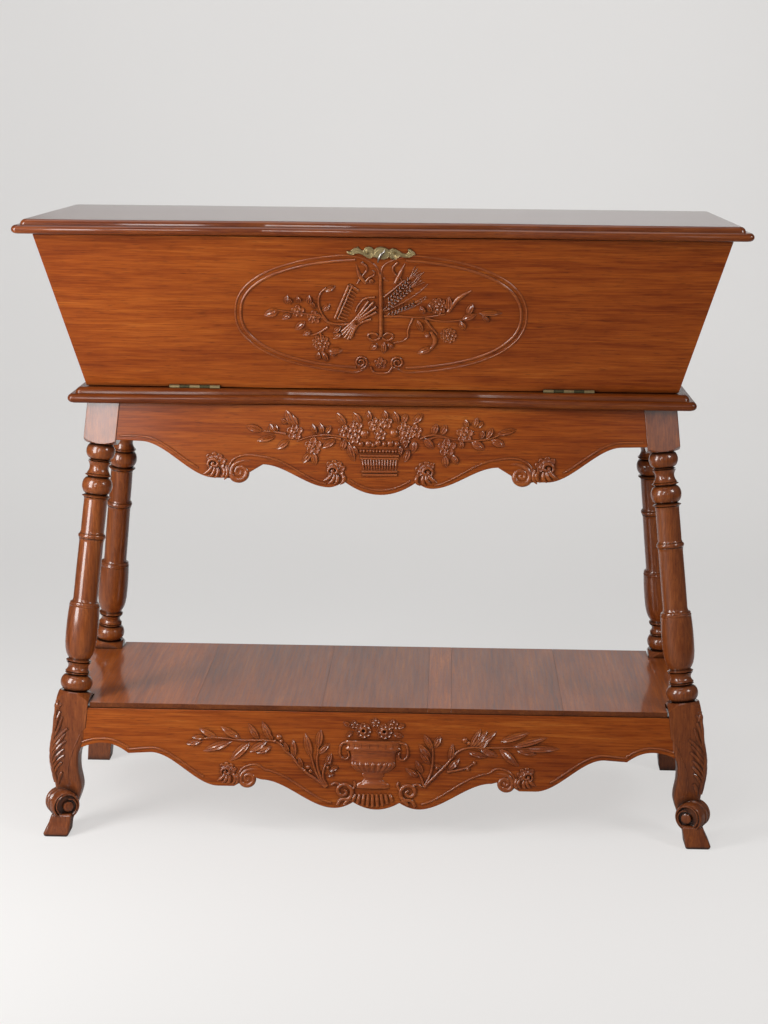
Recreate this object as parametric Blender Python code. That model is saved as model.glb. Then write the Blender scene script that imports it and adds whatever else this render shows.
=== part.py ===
"""A carved dough bin table: a flared bin with a drop front and a hinged lid, on a stand with four splayed
turned legs, two tiers of aprons and a low shelf. Metres, +Z up, the front faces -Y, the floor is Z = 0."""

import math

import bmesh
import bpy
from mathutils import Matrix, Vector

# Driving dimensions: metres, and degrees for angles.
FIT = 0.0003  # gap left between pieces that touch
JOINT_GAP = 0.0006  # gap at the shoulders of a tenoned joint

BIN_TOP_WIDTH = 1.178
BIN_TOP_DEPTH = 0.466
BIN_HEIGHT = 0.2687
BIN_END_FLARE = 15.6
BIN_SIDE_FLARE = 16.3
BIN_BOARD = 0.018
FLAP_GAP = 0.0015  # clearance above and below the drop front
FLAP_CHAMFER = 0.004  # lets the drop front turn past the ends of the bin

EDGE_PROJECTION = 0.0216  # how far a moulded edge stands out past the flat top of its board
EDGE_FILLET = 0.001
SERPENTINE_DEPTH = 0.018
SERPENTINE_BOW = 0.006
SERPENTINE_END = 0.060  # straight length at each end of a serpentine edge

LID_THICKNESS = 0.024
LID_NOSE = 0.0145
LID_OVERHANG = 0.031
LID_GAP = 0.0006
LID_CUSP = 0.197

FLOOR_THICKNESS = 0.0265
FLOOR_NOSE = 0.016
FLOOR_OVERHANG = 0.0305
FLOOR_CUSP = 0.166

STAND_HEIGHT = 0.7645
LEG_SPLAY_X = 5.95
LEG_SPLAY_Y = 6.17
LEG_INSET_X = 0.0602  # leg axis to the edge of the bin floor, at the top
LEG_INSET_Y = 0.0536
LEG_BLOCK = 0.056
LEG_SHOULDER = 0.010  # length over which a block's corners are turned away
TOP_BLOCK_HEIGHT = 0.0765
LOW_BLOCK_TOP = 0.2505
LEG_SIDES = 16
BACK_FOOT = 0.042

# The turned part of a leg from the bottom up: form, length and greatest radius.
# A shaft takes its share of the length that the other forms leave.
LEG_TURNING = (
    ("ball", 0.0285, 0.0283),
    ("ring", 0.006, 0.0220),
    ("cove", 0.016, 0.0177),
    ("ring", 0.006, 0.0227),
    ("vase", 0.093, 0.0282),
    ("ring", 0.009, 0.0268),
    ("shaft", 0.64, 0.0215),
    ("ring", 0.010, 0.0243),
    ("shaft", 0.36, 0.0207),
    ("ring", 0.006, 0.0250),
    ("ball", 0.031, 0.0268),
    ("ring", 0.006, 0.0234),
    ("cove", 0.021, 0.0167),
    ("ring", 0.004, 0.0200),
    ("ball", 0.028, 0.0255),
)

# The front foot below its block: share of the foot's height, shift outwards, shift forwards, width.
FOOT_HEIGHT = 0.165
FOOT_BENDS = (
    (0.18, -0.003, 0.008, 0.036),
    (0.33, -0.006, 0.003, 0.041),
    (0.50, -0.005, 0.000, 0.046),
    (0.68, 0.002, 0.003, 0.049),
    (0.88, 0.004, 0.005, 0.053),
)
SCROLL_RADIUS = 0.0225
SCROLL_LENGTH = 0.044
SCROLL_HEIGHT = 0.050
SCROLL_TURN = 25.0  # the scroll's round end looks this far inwards from straight ahead
SCROLL_OUT = 0.000
SCROLL_FORWARD = 0.018
TOE_HEIGHT = 0.036
TOE_WIDTH = 0.0446
TOE_DEPTH = 0.050
TOE_FORWARD = 0.019
TOE_TAPER = 0.006

APRON_THICKNESS = 0.020
APRON_REVEAL = 0.001  # how far an apron lies behind the face of the leg blocks
SIDE_APRON_CENTRE_DROP = 0.025  # how much deeper a side apron is in the middle
TENON_LENGTH = 0.022
TENON_THICKNESS = 0.008
TENON_MARGIN = 0.009

# Lower edges of the two front aprons: distance from the middle, and drop below the apron's top.
# Each is drawn for an apron of its own half length and stretched to the stand.
UPPER_SCALLOP_HALF = 0.456
UPPER_END_DROP = 0.0665
UPPER_SHOULDER = (0.420, 0.0675)
UPPER_VALLEY = (0.290, 0.130)
UPPER_VOLUTE = (0.247, 0.1195)
UPPER_VOLUTE_RADIUS = 0.0165
UPPER_VOLUTE_NOTCH = 0.021
UPPER_CREST = (0.205, 0.1055)
UPPER_TROUGH = (0.090, 0.144)
UPPER_CUSP = (0.0636, 0.133)
UPPER_CENTRE_DROP = 0.156

LOWER_SCALLOP_HALF = 0.522
LOWER_END_DROP = 0.071
LOWER_CROWN = (0.485, 0.0625)
LOWER_FIRST_CUSP = (0.440, 0.080)
LOWER_SHOULDER = (0.400, 0.0775)
LOWER_VALLEY = (0.280, 0.1355)
LOWER_VOLUTE = (0.230, 0.1185)
LOWER_VOLUTE_RADIUS = 0.015
LOWER_VOLUTE_NOTCH = 0.022
LOWER_CREST = (0.203, 0.123)
LOWER_TROUGH = (0.075, 0.1715)
LOWER_CUSP = (0.041, 0.1605)
LOWER_CENTRE_DROP = 0.173

SHELF_TOP = 0.2360
SHELF_THICKNESS = 0.009
SHELF_SETBACK = 0.002
SHELF_NOTCH_GAP = 0.0014
SHELF_SEAMS = (-0.323, -0.098, 0.088, 0.130, 0.327)
SHELF_SEAM_GAP = 0.0006

HINGE_LENGTH = 0.088
HINGE_KNUCKLES = 5
HINGE_SHEET = 0.0014
HINGE_LEAF = 0.017  # from the pin's axis to the far edge of a leaf
PIN_RADIUS = 0.0014
FLAP_HINGE_INSET = 0.189  # middle of a hinge to the end of the drop front
LID_HINGE_INSET = 0.209  # middle of a hinge to the end of the bin's rim
SCREW_HEAD_RADIUS = 0.0027
SCREW_SHANK_RADIUS = 0.0014
SCREW_LENGTH = 0.010
SCREW_SPACING = 0.050
SCREW_FROM_AXIS = 0.0105

CATCH_DROP = 0.026  # spindle below the top of the drop front, measured on the slope
SPINDLE_RADIUS = 0.0025
PLATE_THICKNESS = 0.002
PLATE_PIN_X = 0.0225
PLATE_PIN_RADIUS = 0.0012
PLATE_PIN_LENGTH = 0.008
LEVER_LENGTH = 0.016
LEVER_TAIL = 0.007
LEVER_WIDTH = 0.008
LEVER_THICKNESS = 0.004
LEVER_LEAN = 25.0  # from straight down, towards -X
CAM_WIDTH = 0.009
CAM_THICKNESS = 0.004
STRIKE_LIP = 0.012
STRIKE_WIDTH = 0.030
STRIKE_FLANGE = 0.014
STRIKE_THICKNESS = 0.002
STRIKE_CLEARANCE = 0.002  # lip to drop front, and lip to cam

# The brass plate's edge: distance from the middle, height of the top edge, depth of the bottom edge.
PLATE_OUTLINE = (
    (0.000, 0.0100, 0.0085),
    (0.009, 0.0098, 0.0080),
    (0.0145, 0.0068, 0.0058),
    (0.0225, 0.0100, 0.0092),
    (0.031, 0.0050, 0.0070),
    (0.040, 0.0005, 0.0060),
    (0.049, 0.0040, 0.0055),
    (0.055, 0.0065, 0.0020),
    (0.0585, 0.0015, 0.0005),
)

# Values worked out from the driving dimensions.
END_SLOPE = math.tan(math.radians(BIN_END_FLARE))
SIDE_SLOPE = math.tan(math.radians(BIN_SIDE_FLARE))
SIDE_FLARE = math.radians(BIN_SIDE_FLARE)
END_WALL = BIN_BOARD / math.cos(math.radians(BIN_END_FLARE))
SIDE_WALL = BIN_BOARD / math.cos(SIDE_FLARE)
FLOOR_TOP = STAND_HEIGHT + FLOOR_THICKNESS
RIM = FLOOR_TOP + BIN_HEIGHT
BIN_FOOT_X = BIN_TOP_WIDTH / 2 - BIN_HEIGHT * END_SLOPE
BIN_FOOT_Y = BIN_TOP_DEPTH / 2 - BIN_HEIGHT * SIDE_SLOPE
FLOOR_X = BIN_FOOT_X + FLOOR_OVERHANG
FLOOR_Y = BIN_FOOT_Y + FLOOR_OVERHANG
LID_X = BIN_TOP_WIDTH / 2 + LID_OVERHANG
LID_Y = BIN_TOP_DEPTH / 2 + LID_OVERHANG
SPLAY_X = math.tan(math.radians(LEG_SPLAY_X))
SPLAY_Y = math.tan(math.radians(LEG_SPLAY_Y))
HALF_BLOCK = LEG_BLOCK / 2
LOWER_APRON_TOP = SHELF_TOP - SHELF_THICKNESS - FIT
KNUCKLE_BORE = PIN_RADIUS + FIT
KNUCKLE_RADIUS = KNUCKLE_BORE + HINGE_SHEET
HINGE_OFFSET = KNUCKLE_RADIUS + FIT  # pin's axis in front of the face that the hinge stands on


def clear_scene():
    for old in list(bpy.data.objects):
        bpy.data.objects.remove(old, do_unlink=True)


def material(name, colour, roughness, metallic=0.0):
    made = bpy.data.materials.new(name)
    made.use_nodes = True
    shader = made.node_tree.nodes["Principled BSDF"]
    shader.inputs["Base Color"].default_value = (*colour, 1.0)
    shader.inputs["Roughness"].default_value = roughness
    shader.inputs["Metallic"].default_value = metallic
    return made


def add(name, bm, finish=None, parent=None, location=(0, 0, 0), turn=(0, 0, 0)):
    """An object from a bmesh, at a place in the world, carried by a parent empty if one is given."""
    mesh = bpy.data.meshes.new(name)
    bmesh.ops.recalc_face_normals(bm, faces=bm.faces)
    bm.to_mesh(mesh)
    bm.free()
    made = bpy.data.objects.new(name, mesh)
    bpy.context.collection.objects.link(made)
    made.parent = parent
    made.location = Vector(location) - (parent.location if parent else Vector())
    made.rotation_euler = turn
    if finish:
        mesh.materials.append(finish)
        mesh.shade_smooth()
        mesh.set_sharp_from_angle(angle=math.radians(35))
    return made


def axis_empty(name, location):
    made = bpy.data.objects.new(name, None)
    bpy.context.collection.objects.link(made)
    made.location = location
    return made


def tool(name, bm, **place):
    """A shape that only cuts or joins another: kept as a wire, out of the render."""
    made = add(name, bm, **place)
    made.hide_render = True
    made.display_type = "WIRE"
    return made


def combine(target, other, operation):
    change = target.modifiers.new(other.name, "BOOLEAN")
    change.operation = operation
    change.object = other
    change.solver = "EXACT"


def loft(rings):
    """A closed solid through rings that have the same number of points."""
    bm = bmesh.new()
    add_loft(bm, rings)
    return bm


def add_loft(bm, rings):
    loops = [[bm.verts.new(point) for point in ring] for ring in rings]
    count = len(rings[0])
    for low, high in zip(loops, loops[1:]):
        for i in range(count):
            j = (i + 1) % count
            bm.faces.new((low[i], low[j], high[j], high[i]))
    bm.faces.new(loops[0][::-1])
    bm.faces.new(loops[-1])


def circle(radius, height, sides):
    turns = [2 * math.pi * i / sides for i in range(sides)]
    return [(radius * math.cos(a), radius * math.sin(a), height) for a in turns]


def turned(profile, sides):
    """A solid of revolution about Z from radii and heights, bottom to top."""
    return loft([circle(radius, height, sides) for radius, height in profile])


def block(low, high):
    """A box between two corners."""
    plan = ((low[0], low[1]), (high[0], low[1]), (high[0], high[1]), (low[0], high[1]))
    return loft([[(x, y, z) for x, y in plan] for z in (low[2], high[2])])


# Bin: sloping walls on a moulded floor board.


def wall_x(height):
    """Half width of the bin's outside at a height."""
    return BIN_FOOT_X + (height - FLOOR_TOP) * END_SLOPE


def wall_y(height):
    """Half depth of the bin's outside at a height."""
    return BIN_FOOT_Y + (height - FLOOR_TOP) * SIDE_SLOPE


def long_wall(side, bottom, top, chamfer=0.0):
    """The front or back board, across the full width of the bin, with a chamfer inside its lower edge."""
    section = [(bottom, 0), (top, 0), (top, SIDE_WALL), (bottom + chamfer, SIDE_WALL)]
    if chamfer:
        section.append((bottom, SIDE_WALL - chamfer))
    rings = []
    for end in (-1, 1):
        rings.append([(end * wall_x(z), side * (wall_y(z) - inset), z) for z, inset in section])
    return loft(rings)


def end_wall(side):
    """An end board, between the front and back boards."""
    rings = []
    for inset in (0, END_WALL):
        corners = ((-1, FLOOR_TOP + FIT), (1, FLOOR_TOP + FIT), (1, RIM), (-1, RIM))
        reach = SIDE_WALL + FIT
        rings.append([(side * (wall_x(z) - inset), s * (wall_y(z) - reach), z) for s, z in corners])
    return loft(rings)


def recess(x, half, cusp):
    """How far a serpentine front edge is set back at x."""
    outer = half - SERPENTINE_END
    x = abs(x)
    if x >= outer:
        return 0.0
    if x >= cusp:
        return SERPENTINE_DEPTH * ((outer - x) / (outer - cusp)) ** 2
    return SERPENTINE_DEPTH - SERPENTINE_BOW * (1 - (x / cusp) ** 2)


def edge_profile(thickness, nose):
    """Inset and height of a moulded edge: a round nose, a fillet and a quarter round up to the flat top."""
    round_nose = nose / 2
    quarter = thickness - nose - EDGE_FILLET
    profile = []
    for step in range(7):
        a = math.radians(-90 + 30 * step)
        profile.append((round_nose - round_nose * math.cos(a), round_nose + round_nose * math.sin(a)))
    for step in range(4):
        a = math.radians(30 * step)
        inset = EDGE_PROJECTION - quarter * math.cos(a)
        profile.append((inset, nose + EDGE_FILLET + quarter * math.sin(a)))
    return profile


def moulded_board(half_x, half_y, cusp, bottom, thickness, nose):
    """A board with a moulded edge at the front and ends, serpentine at the front and plain at the back."""
    outer = half_x - SERPENTINE_END
    wing = [outer - (outer - cusp) * share for share in (0, 0.4, 0.7, 0.9, 1)]
    middle = [cusp * share for share in (0.75, 0.5, 0.25)]
    right = wing + middle
    stations = [-x for x in right] + [0.0] + right[::-1]
    rings = []
    for inset, height in edge_profile(thickness, nose):
        z = bottom + height
        x_edge = half_x - inset
        ring = [(-x_edge, half_y, z), (-x_edge, inset - half_y, z)]
        ring += [(x, inset - half_y + recess(x, half_x, cusp), z) for x in stations]
        ring += [(x_edge, inset - half_y, z), (x_edge, half_y, z)]
        rings.append(ring)
    return loft(rings)


# Stand: legs, aprons and shelf.


def leg_reach(height):
    """Distance of a leg's axis from the middle, across and from front to back, at a height."""
    fall = STAND_HEIGHT - height
    return FLOOR_X - LEG_INSET_X + fall * SPLAY_X, FLOOR_Y - LEG_INSET_Y + fall * SPLAY_Y


class Leg:
    """Places points on one splayed leg: outwards, forwards (or backwards) and up its axis."""

    def __init__(self, side, end):
        self.side = side
        self.end = end
        self.up = Vector((-side * SPLAY_X, -end * SPLAY_Y, 1)).normalized()
        self.ahead = Vector((0, end, SPLAY_Y)).normalized()
        self.out = self.ahead.cross(self.up).normalized()
        if self.out.x * side < 0:
            self.out = -self.out

    def axis(self, height):
        across, along = leg_reach(height)
        return Vector((self.side * across, self.end * along, height))

    def point(self, out, ahead, height, level=False):
        place = self.axis(height) + out * self.out + ahead * self.ahead
        if level:
            place += self.up * (height - place.z) / self.up.z
        return place

    def ring(self, height, radius, half=None, shift=(0, 0), level=False):
        """A round of the given radius, or a square of the given half width with its corners cut to it."""
        points = []
        for i in range(LEG_SIDES):
            a = 2 * math.pi * i / LEG_SIDES
            c, s = math.cos(a), math.sin(a)
            reach = radius if half is None else min(radius, half / max(abs(c), abs(s)))
            points.append(self.point(shift[0] + reach * c, shift[1] + reach * s, height, level))
        return points


def form_points(form, radius):
    """Shares of a form's length and the radius there."""
    if form == "ball":
        shares = (0.02, 0.2, 0.5, 0.8, 0.98)
        return [(t, radius * (0.68 + 0.32 * math.sqrt(1 - (2 * t - 1) ** 2))) for t in shares]
    if form == "ring":
        return [(0.1, radius * 0.9), (0.5, radius), (0.9, radius * 0.9)]
    if form == "cove":
        return [(0.05, radius * 1.15), (0.5, radius), (0.95, radius * 1.15)]
    if form == "vase":
        shares = ((0.02, 0.6), (0.15, 0.77), (0.48, 1.0), (0.75, 0.98), (0.98, 0.93))
        return [(t, radius * share) for t, share in shares]
    return [(0.03, radius), (0.97, radius)]


def turning(bottom, top):
    """Heights and radii of the turned part of a leg."""
    fixed = sum(length for form, length, _ in LEG_TURNING if form != "shaft")
    spare = top - bottom - fixed
    height = bottom
    profile = []
    for form, length, radius in LEG_TURNING:
        if form == "shaft":
            length *= spare
        profile += [(height + t * length, r) for t, r in form_points(form, radius)]
        height += length
    return profile


def leg_solid(leg):
    corner = HALF_BLOCK * 1.42
    top_block = STAND_HEIGHT - TOP_BLOCK_HEIGHT
    if leg.end < 0:
        rings = []
        for share, out, ahead, width in FOOT_BENDS:
            rings.append(leg.ring(share * FOOT_HEIGHT, width * 0.62, width / 2, (out, ahead)))
        rings.append(leg.ring(FOOT_HEIGHT, corner * 0.95, HALF_BLOCK))
    else:
        rings = [leg.ring(0, BACK_FOOT, BACK_FOOT / 2, level=True)]
        rings.append(leg.ring(FOOT_HEIGHT, corner, HALF_BLOCK))
    rings.append(leg.ring(LOW_BLOCK_TOP - LEG_SHOULDER, corner, HALF_BLOCK))
    rings.append(leg.ring(LOW_BLOCK_TOP - LEG_SHOULDER * 0.4, HALF_BLOCK * 1.25, HALF_BLOCK))
    rings.append(leg.ring(LOW_BLOCK_TOP, HALF_BLOCK * 0.97, HALF_BLOCK))
    rings += [leg.ring(height, radius) for height, radius in turning(LOW_BLOCK_TOP, top_block)]
    rings.append(leg.ring(top_block, HALF_BLOCK * 0.97, HALF_BLOCK))
    rings.append(leg.ring(top_block + LEG_SHOULDER * 0.4, HALF_BLOCK * 1.25, HALF_BLOCK))
    rings.append(leg.ring(top_block + LEG_SHOULDER, corner, HALF_BLOCK))
    rings.append(leg.ring(STAND_HEIGHT - FIT, corner, HALF_BLOCK, level=True))
    return loft(rings)


def scroll_solid(leg):
    """The rolled scroll of a front foot, a short cylinder lying nearly front to back."""
    turn = math.radians(SCROLL_TURN)
    facing = Vector((-leg.side * math.sin(turn), -math.cos(turn), 0))
    across = Vector((0, 0, 1)).cross(facing)
    middle = leg.axis(SCROLL_HEIGHT) + Vector((leg.side * SCROLL_OUT, -SCROLL_FORWARD, 0))
    rings = []
    for reach in (-SCROLL_LENGTH / 2, SCROLL_LENGTH / 2):
        centre = middle + facing * reach
        ring = []
        for x, y, _ in circle(SCROLL_RADIUS, 0, LEG_SIDES):
            ring.append(centre + across * x + Vector((0, 0, y)))
        rings.append(ring)
    return loft(rings)


def toe_solid(leg):
    """The toe that a front foot stands on, wider at the floor."""
    rings = []
    for height, taper, shift in ((0, 0, 0), (TOE_HEIGHT, TOE_TAPER, -TOE_TAPER / 2)):
        centre = leg.axis(0) + Vector((leg.side * shift, -TOE_FORWARD, height))
        across = TOE_WIDTH / 2 - taper / 2
        along = TOE_DEPTH / 2 - taper
        plan = ((-1, -1), (1, -1), (1, 1), (-1, 1))
        rings.append([centre + Vector((x * across, y * along, 0)) for x, y in plan])
    return loft(rings)


def cyma(start, end):
    """An S-curve from one point of an edge to another, level at both ends."""
    points = []
    for step in range(7):
        t = step / 6
        rise = t * t * (3 - 2 * t)
        points.append((start[0] + (end[0] - start[0]) * t, start[1] + (end[1] - start[1]) * rise))
    return points


def bow(start, end):
    """A half arch from a point of an edge to its level end, the start left out."""
    points = []
    for step in range(1, 4):
        t = 1 - step / 3
        points.append((end[0] + (start[0] - end[0]) * t, end[1] + (start[1] - end[1]) * t * t))
    return points


def volute_edge(centre, radius):
    """The part of a carved volute that hangs below an edge, from its outer side to its inner side."""
    turns = [math.radians(a) for a in (45, 70, 95, 120, 145, 175)]
    return [(centre[0] + radius * math.cos(a), centre[1] + radius * math.sin(a)) for a in turns]


def mirrored_back(points):
    """The same arch run backwards, from its level end."""
    return points[-2::-1]


def upper_scallop():
    """Lower edge of the upper front apron, from its end to its middle: distance out and drop."""
    end = [(UPPER_SCALLOP_HALF, UPPER_END_DROP)]
    outer = cyma(UPPER_SHOULDER, UPPER_VALLEY)
    volute = [(UPPER_VOLUTE[0] + UPPER_VOLUTE_NOTCH, UPPER_VALLEY[1])]
    volute += volute_edge(UPPER_VOLUTE, UPPER_VOLUTE_RADIUS)
    inner = cyma(UPPER_CREST, UPPER_TROUGH)
    rise = mirrored_back(bow(UPPER_CUSP, UPPER_TROUGH)) + [UPPER_CUSP]
    return end + outer + volute + inner + rise + bow(UPPER_CUSP, (0, UPPER_CENTRE_DROP))


def lower_scallop():
    """Lower edge of the lower front apron, from its end to its middle: distance out and drop."""
    start = (LOWER_SCALLOP_HALF, LOWER_END_DROP)
    end = [start] + bow(start, LOWER_CROWN)
    fall = mirrored_back(bow(LOWER_FIRST_CUSP, LOWER_CROWN)) + [LOWER_FIRST_CUSP]
    outer = cyma(LOWER_SHOULDER, LOWER_VALLEY)
    volute = [(LOWER_VOLUTE[0] + LOWER_VOLUTE_NOTCH, LOWER_VALLEY[1])]
    volute += volute_edge(LOWER_VOLUTE, LOWER_VOLUTE_RADIUS)
    inner = cyma(LOWER_CREST, LOWER_TROUGH)
    rise = mirrored_back(bow(LOWER_CUSP, LOWER_TROUGH)) + [LOWER_CUSP]
    return end + fall + outer + volute + inner + rise + bow(LOWER_CUSP, (0, LOWER_CENTRE_DROP))


def plain_edge(half, drop):
    return [(half, drop), (0, drop)]


def side_edge(half, drop):
    deep = drop + SIDE_APRON_CENTRE_DROP
    return [(half, drop)] + cyma((half * 0.75, drop), (half * 0.2, deep)) + [(0, deep)]


class Apron:
    """One board of the stand's two tiers, between two leg blocks and in the slope of their outer faces."""

    def __init__(self, name, along, side, top, edge):
        self.name = name
        self.along = along  # 0 runs across the front or back, 1 runs from front to back
        self.side = side
        self.top = top
        self.end_drop = edge[0][1]
        self.slopes = (SPLAY_X, SPLAY_Y)
        stretch = self.run_end(top - self.end_drop) / edge[0][0]
        self.edge = [(run * stretch, top - drop) for run, drop in edge]

    def widened(self, axis, size):
        """A size square to the sloping face, measured level."""
        return size * math.sqrt(1 + self.slopes[axis] ** 2)

    def run_end(self, height):
        return leg_reach(height)[self.along] - self.widened(self.along, HALF_BLOCK + JOINT_GAP)

    def face(self, height, depth=0.0):
        """Distance of the board's outer face from the middle, or of a depth behind it."""
        across = 1 - self.along
        return leg_reach(height)[across] + self.widened(across, HALF_BLOCK - APRON_REVEAL - depth)

    def place(self, run, depth, height):
        if self.along == 0:
            return (run, self.side * self.face(height, depth), height)
        return (self.side * self.face(height, depth), run, height)

    def outline(self):
        half = [(self.run_end(self.top), self.top)] + self.edge
        return half + [(-run, height) for run, height in half[-2::-1]]

    def solid(self):
        outline = self.outline()
        return loft([[self.place(run, depth, z) for run, z in outline] for depth in (0, APRON_THICKNESS)])

    def tenon(self, end, grow=0.0):
        """A tenon at one end, or with a growth the mortise for it."""
        bottom = self.top - self.end_drop + TENON_MARGIN - grow
        top = self.top - TENON_MARGIN + grow
        near = APRON_THICKNESS / 2 - TENON_THICKNESS / 2 - grow
        far = APRON_THICKNESS / 2 + TENON_THICKNESS / 2 + grow
        corners = ((near, bottom), (far, bottom), (far, top), (near, top))
        rings = []
        for reach in (-TENON_MARGIN, TENON_LENGTH + grow):
            rings.append([self.place(end * (self.run_end(z) + reach), depth, z) for depth, z in corners])
        return loft(rings)


def shelf_plan(left, right):
    """Outline of one shelf board between two seams, notched round the legs at the ends."""
    low = LOWER_APRON_TOP
    cross = Apron("", 0, -1, low, plain_edge(1, LOWER_END_DROP))
    length = Apron("", 1, 1, low, plain_edge(1, LOWER_END_DROP))
    depth = cross.face(SHELF_TOP) - SHELF_SETBACK
    width = length.face(SHELF_TOP) - SHELF_SETBACK
    notch_x = cross.run_end(SHELF_TOP) - SHELF_NOTCH_GAP
    notch_y = length.run_end(SHELF_TOP) - SHELF_NOTCH_GAP
    x_low = -width if left is None else left + SHELF_SEAM_GAP / 2
    x_high = width if right is None else right - SHELF_SEAM_GAP / 2
    plan = []
    if left is None:
        plan += [(-width, notch_y), (-width, -notch_y), (-notch_x, -notch_y), (-notch_x, -depth)]
    else:
        plan += [(x_low, depth), (x_low, -depth)]
    if right is None:
        plan += [(notch_x, -depth), (notch_x, -notch_y), (width, -notch_y), (width, notch_y)]
        plan += [(notch_x, notch_y), (notch_x, depth)]
    else:
        plan += [(x_high, -depth), (x_high, depth)]
    if left is None:
        plan += [(-notch_x, depth), (-notch_x, notch_y)]
    return plan


# Hinges: two rolled brass leaves on a pin, each leaf held by two screws.


def knuckle_spans(own):
    """The stretches along the pin that a leaf's knuckles take: even ones for the fixed leaf."""
    step = HINGE_LENGTH / HINGE_KNUCKLES
    spans = []
    for i in range(HINGE_KNUCKLES):
        if i % 2 == own:
            start = -HINGE_LENGTH / 2 + i * step
            spans.append((start + FIT / 2, start + step - FIT / 2))
    return spans


def leaf_solid(up):
    """A leaf beside the pin, below its axis (up = -1) or above it (up = 1), rolled round the pin."""
    near = KNUCKLE_RADIUS + FIT
    low, high = sorted((up * KNUCKLE_BORE, up * KNUCKLE_RADIUS))
    spans = knuckle_spans(0 if up < 0 else 1)
    stations = [-HINGE_LENGTH / 2 + FIT / 4, HINGE_LENGTH / 2 - FIT / 4]
    for start, end in spans:
        stations += [start, end]
    section = ((near, low), (HINGE_LEAF, low), (HINGE_LEAF, high), (near, high))
    bm = loft([[(x, y, z) for y, z in section] for x in sorted(set(stations))])
    for start, end in spans:
        face = near_face(bm, near, (start + end) / 2)
        face = bmesh.ops.extrude_discrete_faces(bm, faces=[face])["faces"][0]
        bmesh.ops.translate(bm, verts=face.verts, vec=(0, -near, 0))
        for _ in range(8):
            face = bmesh.ops.extrude_discrete_faces(bm, faces=[face])["faces"][0]
            roll = Matrix.Rotation(math.radians(36) * up, 3, "X")
            bmesh.ops.rotate(bm, verts=face.verts, cent=(0, 0, 0), matrix=roll)
    return bm


def near_face(bm, near, x):
    """The face of a leaf's near edge that lies over one point of the pin."""
    for face in bm.faces:
        if all(abs(v.co.y - near) < FIT / 10 for v in face.verts):
            if min(v.co.x for v in face.verts) < x < max(v.co.x for v in face.verts):
                return face
    raise ValueError("the leaf has no edge there")


def screw_profile(up, grow=0.0):
    """Radii and heights of a countersunk screw whose head is flush with a leaf."""
    head = KNUCKLE_BORE - grow
    neck = KNUCKLE_BORE + HINGE_SHEET
    tip = KNUCKLE_BORE + SCREW_LENGTH + grow
    shank = SCREW_SHANK_RADIUS + grow
    profile = [(SCREW_HEAD_RADIUS + grow, head), (shank, neck)]
    profile += [(shank, tip - SCREW_SHANK_RADIUS), (shank / 3, tip)]
    if up > 0:
        return profile
    return [(radius, -height) for radius, height in profile[::-1]]


def box_tool(name, low, high, location, turn):
    return tool(name, block(low, high), location=location, turn=turn)


def butt_hinge(name, location, turn, fixed, moving, parent, finishes):
    """A hinge on a pin along X: its fixed leaf let into one board, its moving leaf into another."""
    brass, steel = finishes
    long = HINGE_LENGTH / 2 + FIT
    far = HINGE_LEAF + FIT
    front = KNUCKLE_RADIUS + 2 * FIT
    deep = KNUCKLE_RADIUS + FIT
    place = {"location": location, "turn": turn}
    pocket = box_tool(f"{name}_fixed_pocket", (-long, -front, -deep), (long, far, HINGE_LEAF), **place)
    combine(fixed, pocket, "DIFFERENCE")
    pocket = box_tool(f"{name}_moving_pocket", (-long, -front, -HINGE_LEAF), (long, far, deep), **place)
    combine(moving, pocket, "DIFFERENCE")
    for label, up, board, carrier in (("fixed", -1, fixed, None), ("moving", 1, moving, parent)):
        leaf = add(f"{name}_{label}_leaf", leaf_solid(up), brass, carrier, **place)
        for side, tag in ((-1, "a"), (1, "b")):
            offset = Matrix.Rotation(turn[2], 3, "Z") @ Vector((side * SCREW_SPACING / 2, SCREW_FROM_AXIS, 0))
            spot = Vector(location) + offset
            screw_name = f"{name}_{label}_screw_{tag}"
            add(screw_name, turned(screw_profile(up), 10), steel, carrier, spot, turn)
            hole = tool(f"{screw_name}_hole", turned(screw_profile(up, FIT), 10), location=spot, turn=turn)
            combine(leaf, hole, "DIFFERENCE")
            combine(board, hole, "DIFFERENCE")
    pin = turned([(PIN_RADIUS, -HINGE_LENGTH / 2), (PIN_RADIUS, HINGE_LENGTH / 2)], 12)
    bmesh.ops.rotate(pin, verts=pin.verts, cent=(0, 0, 0), matrix=Matrix.Rotation(math.pi / 2, 3, "Y"))
    add(f"{name}_pin", pin, steel, None, **place)


# Catch: a brass plate on the drop front, a lever on a spindle, a cam behind and a strike under the lid.


def plate_solid():
    right = [(x, top) for x, top, _ in PLATE_OUTLINE] + [(x, -low) for x, _, low in PLATE_OUTLINE[::-1]]
    left = [(-x, y) for x, y in right[::-1] if x > 0]
    outline = right + left
    return loft([[(x, y, z) for x, y in outline] for z in (FIT, FIT + PLATE_THICKNESS)])


def half_round(centre_y, radius, start, steps):
    """Points of a half circle in the plate's plane, anticlockwise from a start angle."""
    turns = [start + math.pi * step / steps for step in range(steps + 1)]
    return [(radius * math.cos(a), centre_y + radius * math.sin(a)) for a in turns]


def lever_solid():
    """The lever: a rounded bar that hangs from the spindle, narrower towards its end."""
    bottom = PLATE_THICKNESS + 2 * FIT
    wide = LEVER_WIDTH / 2
    narrow = LEVER_WIDTH / 3
    outline = half_round(LEVER_TAIL - wide, wide, 0, 8)
    outline += half_round(narrow - LEVER_LENGTH, narrow, math.pi, 6)
    bm = loft([[(x, y, z) for x, y in outline] for z in (bottom, bottom + LEVER_THICKNESS)])
    lean = Matrix.Rotation(-math.radians(LEVER_LEAN), 3, "Z")
    bmesh.ops.rotate(bm, verts=bm.verts, cent=(0, 0, 0), matrix=lean)
    return bm


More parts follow.
